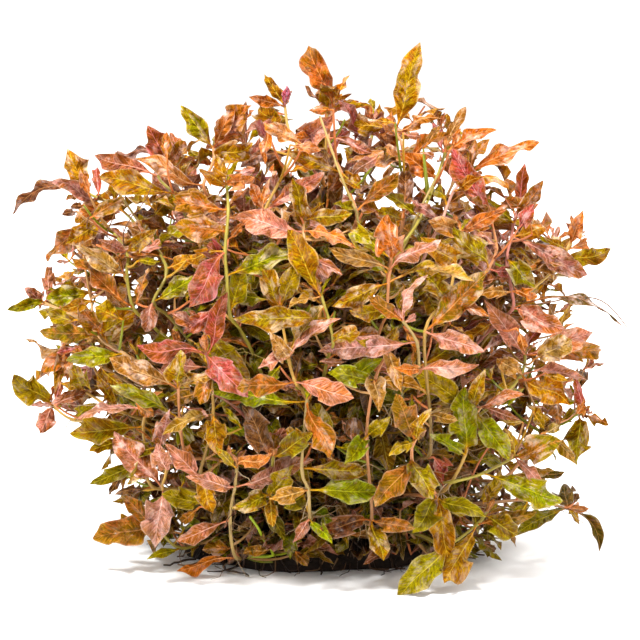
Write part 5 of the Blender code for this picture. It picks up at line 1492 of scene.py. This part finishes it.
class Shader:
    """One material's node tree."""

    def __init__(self, name, **constants):
        self.material = bpy.data.materials.new(name)
        self.material.use_nodes = True
        self.tree = self.material.node_tree
        self.drive(**constants)

    def drive(self, **inputs):
        """Sets or feeds the surface's own sockets."""
        for socket, value in inputs.items():
            self.feed(self.tree.nodes["Principled BSDF"].inputs[socket.replace("_", " ")], value)

    def feed(self, socket, value):
        """Links a socket to a value of the tree, or sets it to a constant."""
        if isinstance(value, Value):
            self.tree.links.new(value.socket, socket)
        else:
            socket.default_value = value

    def node(self, kind, settings, inputs, output=0):
        """Any node: its type, its settings, and the values or links of its sockets."""
        made = self.tree.nodes.new(kind)
        for setting, value in settings.items():
            setattr(made, setting, value)
        for socket, value in inputs.items():
            self.feed(made.inputs[socket], value)
        return Value(self, made.outputs[output])

    def mark(self, name, output="Vector"):
        """One of the marks that each point of a piece has."""
        return self.node("ShaderNodeAttribute", {"attribute_name": "leaf_" + name}, {}, output)

    def colours(self):
        """The main colour, the blotches' and the rib's that a point is marked with."""
        return [self.mark(name, "Color") for name in Growth.COLOURS]

    def parts(self, vector):
        """A vector's three numbers."""
        return [self.node("ShaderNodeSeparateXYZ", {}, {0: vector}, axis) for axis in range(3)]

    def vector(self, x, y, z):
        return self.node("ShaderNodeCombineXYZ", {}, {0: x, 1: y, 2: z})

    def mix(self, share, first, second):
        """A colour between two others."""
        return self.node("ShaderNodeMix", {"data_type": "RGBA"}, {0: share, 6: first, 7: second}, 2)

    def scaled(self, colour, factor):
        """A colour made lighter or darker by a value."""
        return self.node("ShaderNodeVectorMath", {"operation": "SCALE"}, {0: colour, 3: factor})

    def noise(self, place, scale, detail=2.0, roughness=0.5):
        inputs = {"Vector": place, "Scale": scale, "Detail": detail, "Roughness": roughness}
        return self.node("ShaderNodeTexNoise", {}, inputs)

    def cells(self, place, scale, feature):
        """Distances in a pattern of uneven cells."""
        inputs = {"Vector": place, "Scale": scale, "Randomness": 1.0}
        return self.node("ShaderNodeTexVoronoi", {"feature": feature}, inputs)

    def step(self, value, low, high):
        """0 below low and 1 above high, smooth between."""
        settings = {"interpolation_type": "SMOOTHSTEP"}
        return self.node("ShaderNodeMapRange", settings, {0: value, 1: low, 2: high, 3: 0.0, 4: 1.0})

    def bump(self, height, distance, strength):
        inputs = {"Height": height, "Distance": distance, "Strength": strength}
        return self.node("ShaderNodeBump", {}, inputs)


def leaf_material():
    """A mottled leaf with broad patches of painted shade, glossy patches with a painted pink highlight,
    veins, a fine net, a pale edge that is partly a painted highlight, and a redder base.
    """
    shader = Shader(
        "hygrophila_leaf", Roughness=0.45, Subsurface_Weight=0.12, Subsurface_Radius=(1.0, 0.45, 0.12),
        Subsurface_Scale=0.0016, Specular_IOR_Level=0.04, Coat_Roughness=0.3,
    )
    along, beside, seed = shader.parts(shader.mark("place"))
    share, reach, under = shader.parts(shader.mark("share"))
    tone, blotch, pale = shader.colours()
    side = abs(beside)
    flat = shader.vector(along, beside, seed * 90.0)
    wander = shader.noise(flat, 0.10, 3.0, 0.6)

    wobble = (shader.noise(flat, 0.5) - 0.5) * 0.9
    lateral = (along - side * 1.25 + side * side * 0.045 + wobble) / VEIN_SPACING + seed * 3.0
    gap = shader.node("ShaderNodeMath", {"operation": "PINGPONG"}, {0: lateral, 1: 0.5})
    vein = 1.0 - shader.step(gap * VEIN_SPACING, 0.08, 0.42)
    rib = 1.0 - shader.step(side + share * 0.32, 0.16, 0.62)
    net = 1.0 - shader.step(shader.cells(flat, 0.62, "DISTANCE_TO_EDGE"), 0.02, 0.17)
    # The leaf's pale edge: partly its own paler margin, partly a painted highlight
    edge = shader.step(reach, 0.84, 1.0)
    base = 1.0 - shader.step(share, 0.06, 0.34)

    fine = shader.noise(shader.vector(lateral * VEIN_SPACING, beside * 0.4, seed * 90.0), 0.9, 4.0, 0.7)
    rim = (reach - 0.45) * (seed - 0.2) * 0.55
    fade = (share - 0.5) * (wander * 2.0 - 0.7)
    patch = shader.step(wander + (fine - 0.5) * 0.4 + rim + fade * 0.4, 0.40, 0.60)
    mottle = shader.step(fine, 0.46, 0.62)
    grain = shader.step(shader.noise(flat, 2.1, 2.0, 0.6), 0.50, 0.66)
    speck = shader.step(1.0 - fine, 0.50, 0.70)
    # The glossy patches: a real coat of gloss, and a painted pink highlight mixed into the colour
    glint = shader.noise(shader.vector(along * 0.6, beside * 1.2, seed * 70.0), 0.22, 3.0, 0.6)
    coat_and_painted_sheen = shader.step(glint + (fine - 0.5) * 0.35, 0.48, 0.66)
    # Broad dark patches: painted shade
    painted_shade_patches = shader.step(shader.noise(flat, 0.15) - side * 0.01, 0.48, 0.64)
    fleck = 1.0 - shader.step(shader.cells(flat, 0.21, "F1") + (fine - 0.5) * 0.3, 0.10, 0.22)

    colour = tone
    for amount, layer in (
        (patch, blotch),
        (mottle * 0.78, shader.scaled(blotch, 0.34)),
        (grain * 0.42, shader.scaled(blotch, 0.40)),
        (speck * 0.34, pale),
        # painted highlight on the glossy patches
        (coat_and_painted_sheen * (0.02 + 0.70 * seed), shader.mix(0.55, pale, PAINTED_SHEEN_PINK)),
        # painted shade in broad patches
        (painted_shade_patches * 0.6, shader.scaled(blotch, 0.38)),
        (net * 0.22, shader.scaled(blotch, 0.5)),
        (vein * (1.0 - reach * 0.7) * 0.30, pale),
        # pale edge, partly the leaf's own and partly a painted highlight
        (edge * 0.24, shader.mix(0.5, pale, PAINTED_SHEEN_PINK)),
        (under * 0.25, shader.scaled(pale, 0.8)),
        (base * (1.0 - reach * 0.5) * 0.6, BASE_RED),
        (rib * 0.8, shader.mix(base * 0.55, pale, BASE_RED)),
        (fleck * 0.55, FLECK_BROWN),
    ):
        colour = shader.mix(amount, colour, layer)
    strength = {"Saturation": LEAF_SATURATION, "Value": LEAF_GAIN, "Color": colour}
    raised = shader.noise(flat, 0.30, 3.0) * 2.0 + gap * 1.1 + fine * 0.4 + rib * 0.3
    shader.drive(
        Base_Color=shader.node("ShaderNodeHueSaturation", {}, strength), Roughness=0.34 + fine * 0.22,
        Coat_Weight=coat_and_painted_sheen * 0.5, Normal=shader.bump(raised, 0.0016, 0.9),
    )
    return shader.material


def stem_material():
    """A smooth stem with long streaks."""
    shader = Shader(
        "hygrophila_stem", Roughness=0.4, Subsurface_Weight=0.08, Subsurface_Radius=(1.0, 0.5, 0.2),
        Subsurface_Scale=0.002, Specular_IOR_Level=0.4,
    )
    along, beside, seed = shader.parts(shader.mark("place"))
    tone, blotch, _ = shader.colours()
    streak = shader.noise(shader.vector(along * 0.08, beside, seed * 50.0), 1.3, 3.0)
    shader.drive(
        Base_Color=shader.mix(shader.step(streak, 0.35, 0.68), tone, blotch), Roughness=0.36 + streak * 0.2,
        Normal=shader.bump(streak, 0.0003, 0.4),
    )
    return shader.material


def root_material():
    """The dark mass that the roots grow in."""
    shader = Shader("hygrophila_root_mass", Roughness=0.85, Specular_IOR_Level=0.2)
    place = shader.mark("place")
    tone, blotch, rib = shader.colours()
    grain = shader.noise(place, 0.35, 6.0, 0.7)
    coarse = shader.noise(place, 0.08, 3.0)
    colour = shader.mix(shader.step(grain, 0.4, 0.7), blotch, tone)
    shader.drive(
        Base_Color=shader.mix(shader.step(coarse, 0.5, 0.7) * 0.5, colour, rib), Roughness=0.75 + grain * 0.2,
        Normal=shader.bump(grain, 0.002, 0.8),
    )
    return shader.material


def add_floor():
    """A plain pale floor."""
    shader = Shader("pale_floor", Base_Color=(0.97, 0.967, 0.96, 1.0), Roughness=0.9, Specular_IOR_Level=0.1)
    mesh = bpy.data.meshes.new("floor")
    reach = FLOOR_REACH * MM
    corners = [(-reach, -reach, 0.0), (reach, -reach, 0.0), (reach, reach, 0.0), (-reach, reach, 0.0)]
    mesh.from_pydata(corners, [], [(0, 1, 2, 3)])
    mesh.materials.append(shader.material)
    floor = show("floor", mesh)
    floor.location.z = -FLOOR_DROP * MM


def add_surroundings():
    """A white room with the floor and three soft lights."""
    world = bpy.data.worlds.new("white_room")
    world.use_nodes = True
    background = world.node_tree.nodes["Background"]
    background.inputs["Color"].default_value = (1.0, 1.0, 1.0, 1.0)
    background.inputs["Strength"].default_value = WORLD_STRENGTH
    bpy.context.scene.world = world
    bpy.context.scene.view_settings.view_transform = "Standard"
    add_floor()
    for name, (place, size, power) in LIGHTS.items():
        data = bpy.data.lights.new(name, "AREA")
        data.shape = "DISK"
        data.size = size * MM
        data.energy = power
        light = show(name, data)
        light.location = Vector(place) * MM
        light.rotation_euler = (LIGHT_AIM - Vector(place)).to_track_quat("-Z", "Y").to_euler()


def attach(piece, node):
    """Ties a piece to the one body and hides the CAD node that it stands for."""
    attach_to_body(piece, "root")
    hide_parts(node)


def build():
    materials = [leaf_material(), stem_material(), root_material()]
    attach(add_clump().make("root_tangle", materials), "root_clump")
    shoots = all_shoots()
    stems = Stems(shoots)
    rand = random.Random(SEED + 1)
    plan_small_leaves(stems, rand)
    plan_strands(stems)
    plan_fill(stems, rand)
    plan_litter(stems, rand)
    for shoot in shoots:
        name = shoot.name.replace("_shoot", "_foliage")
        attach(add_shoot(shoot).make(name, materials), shoot.name)
    add_surroundings()


build()
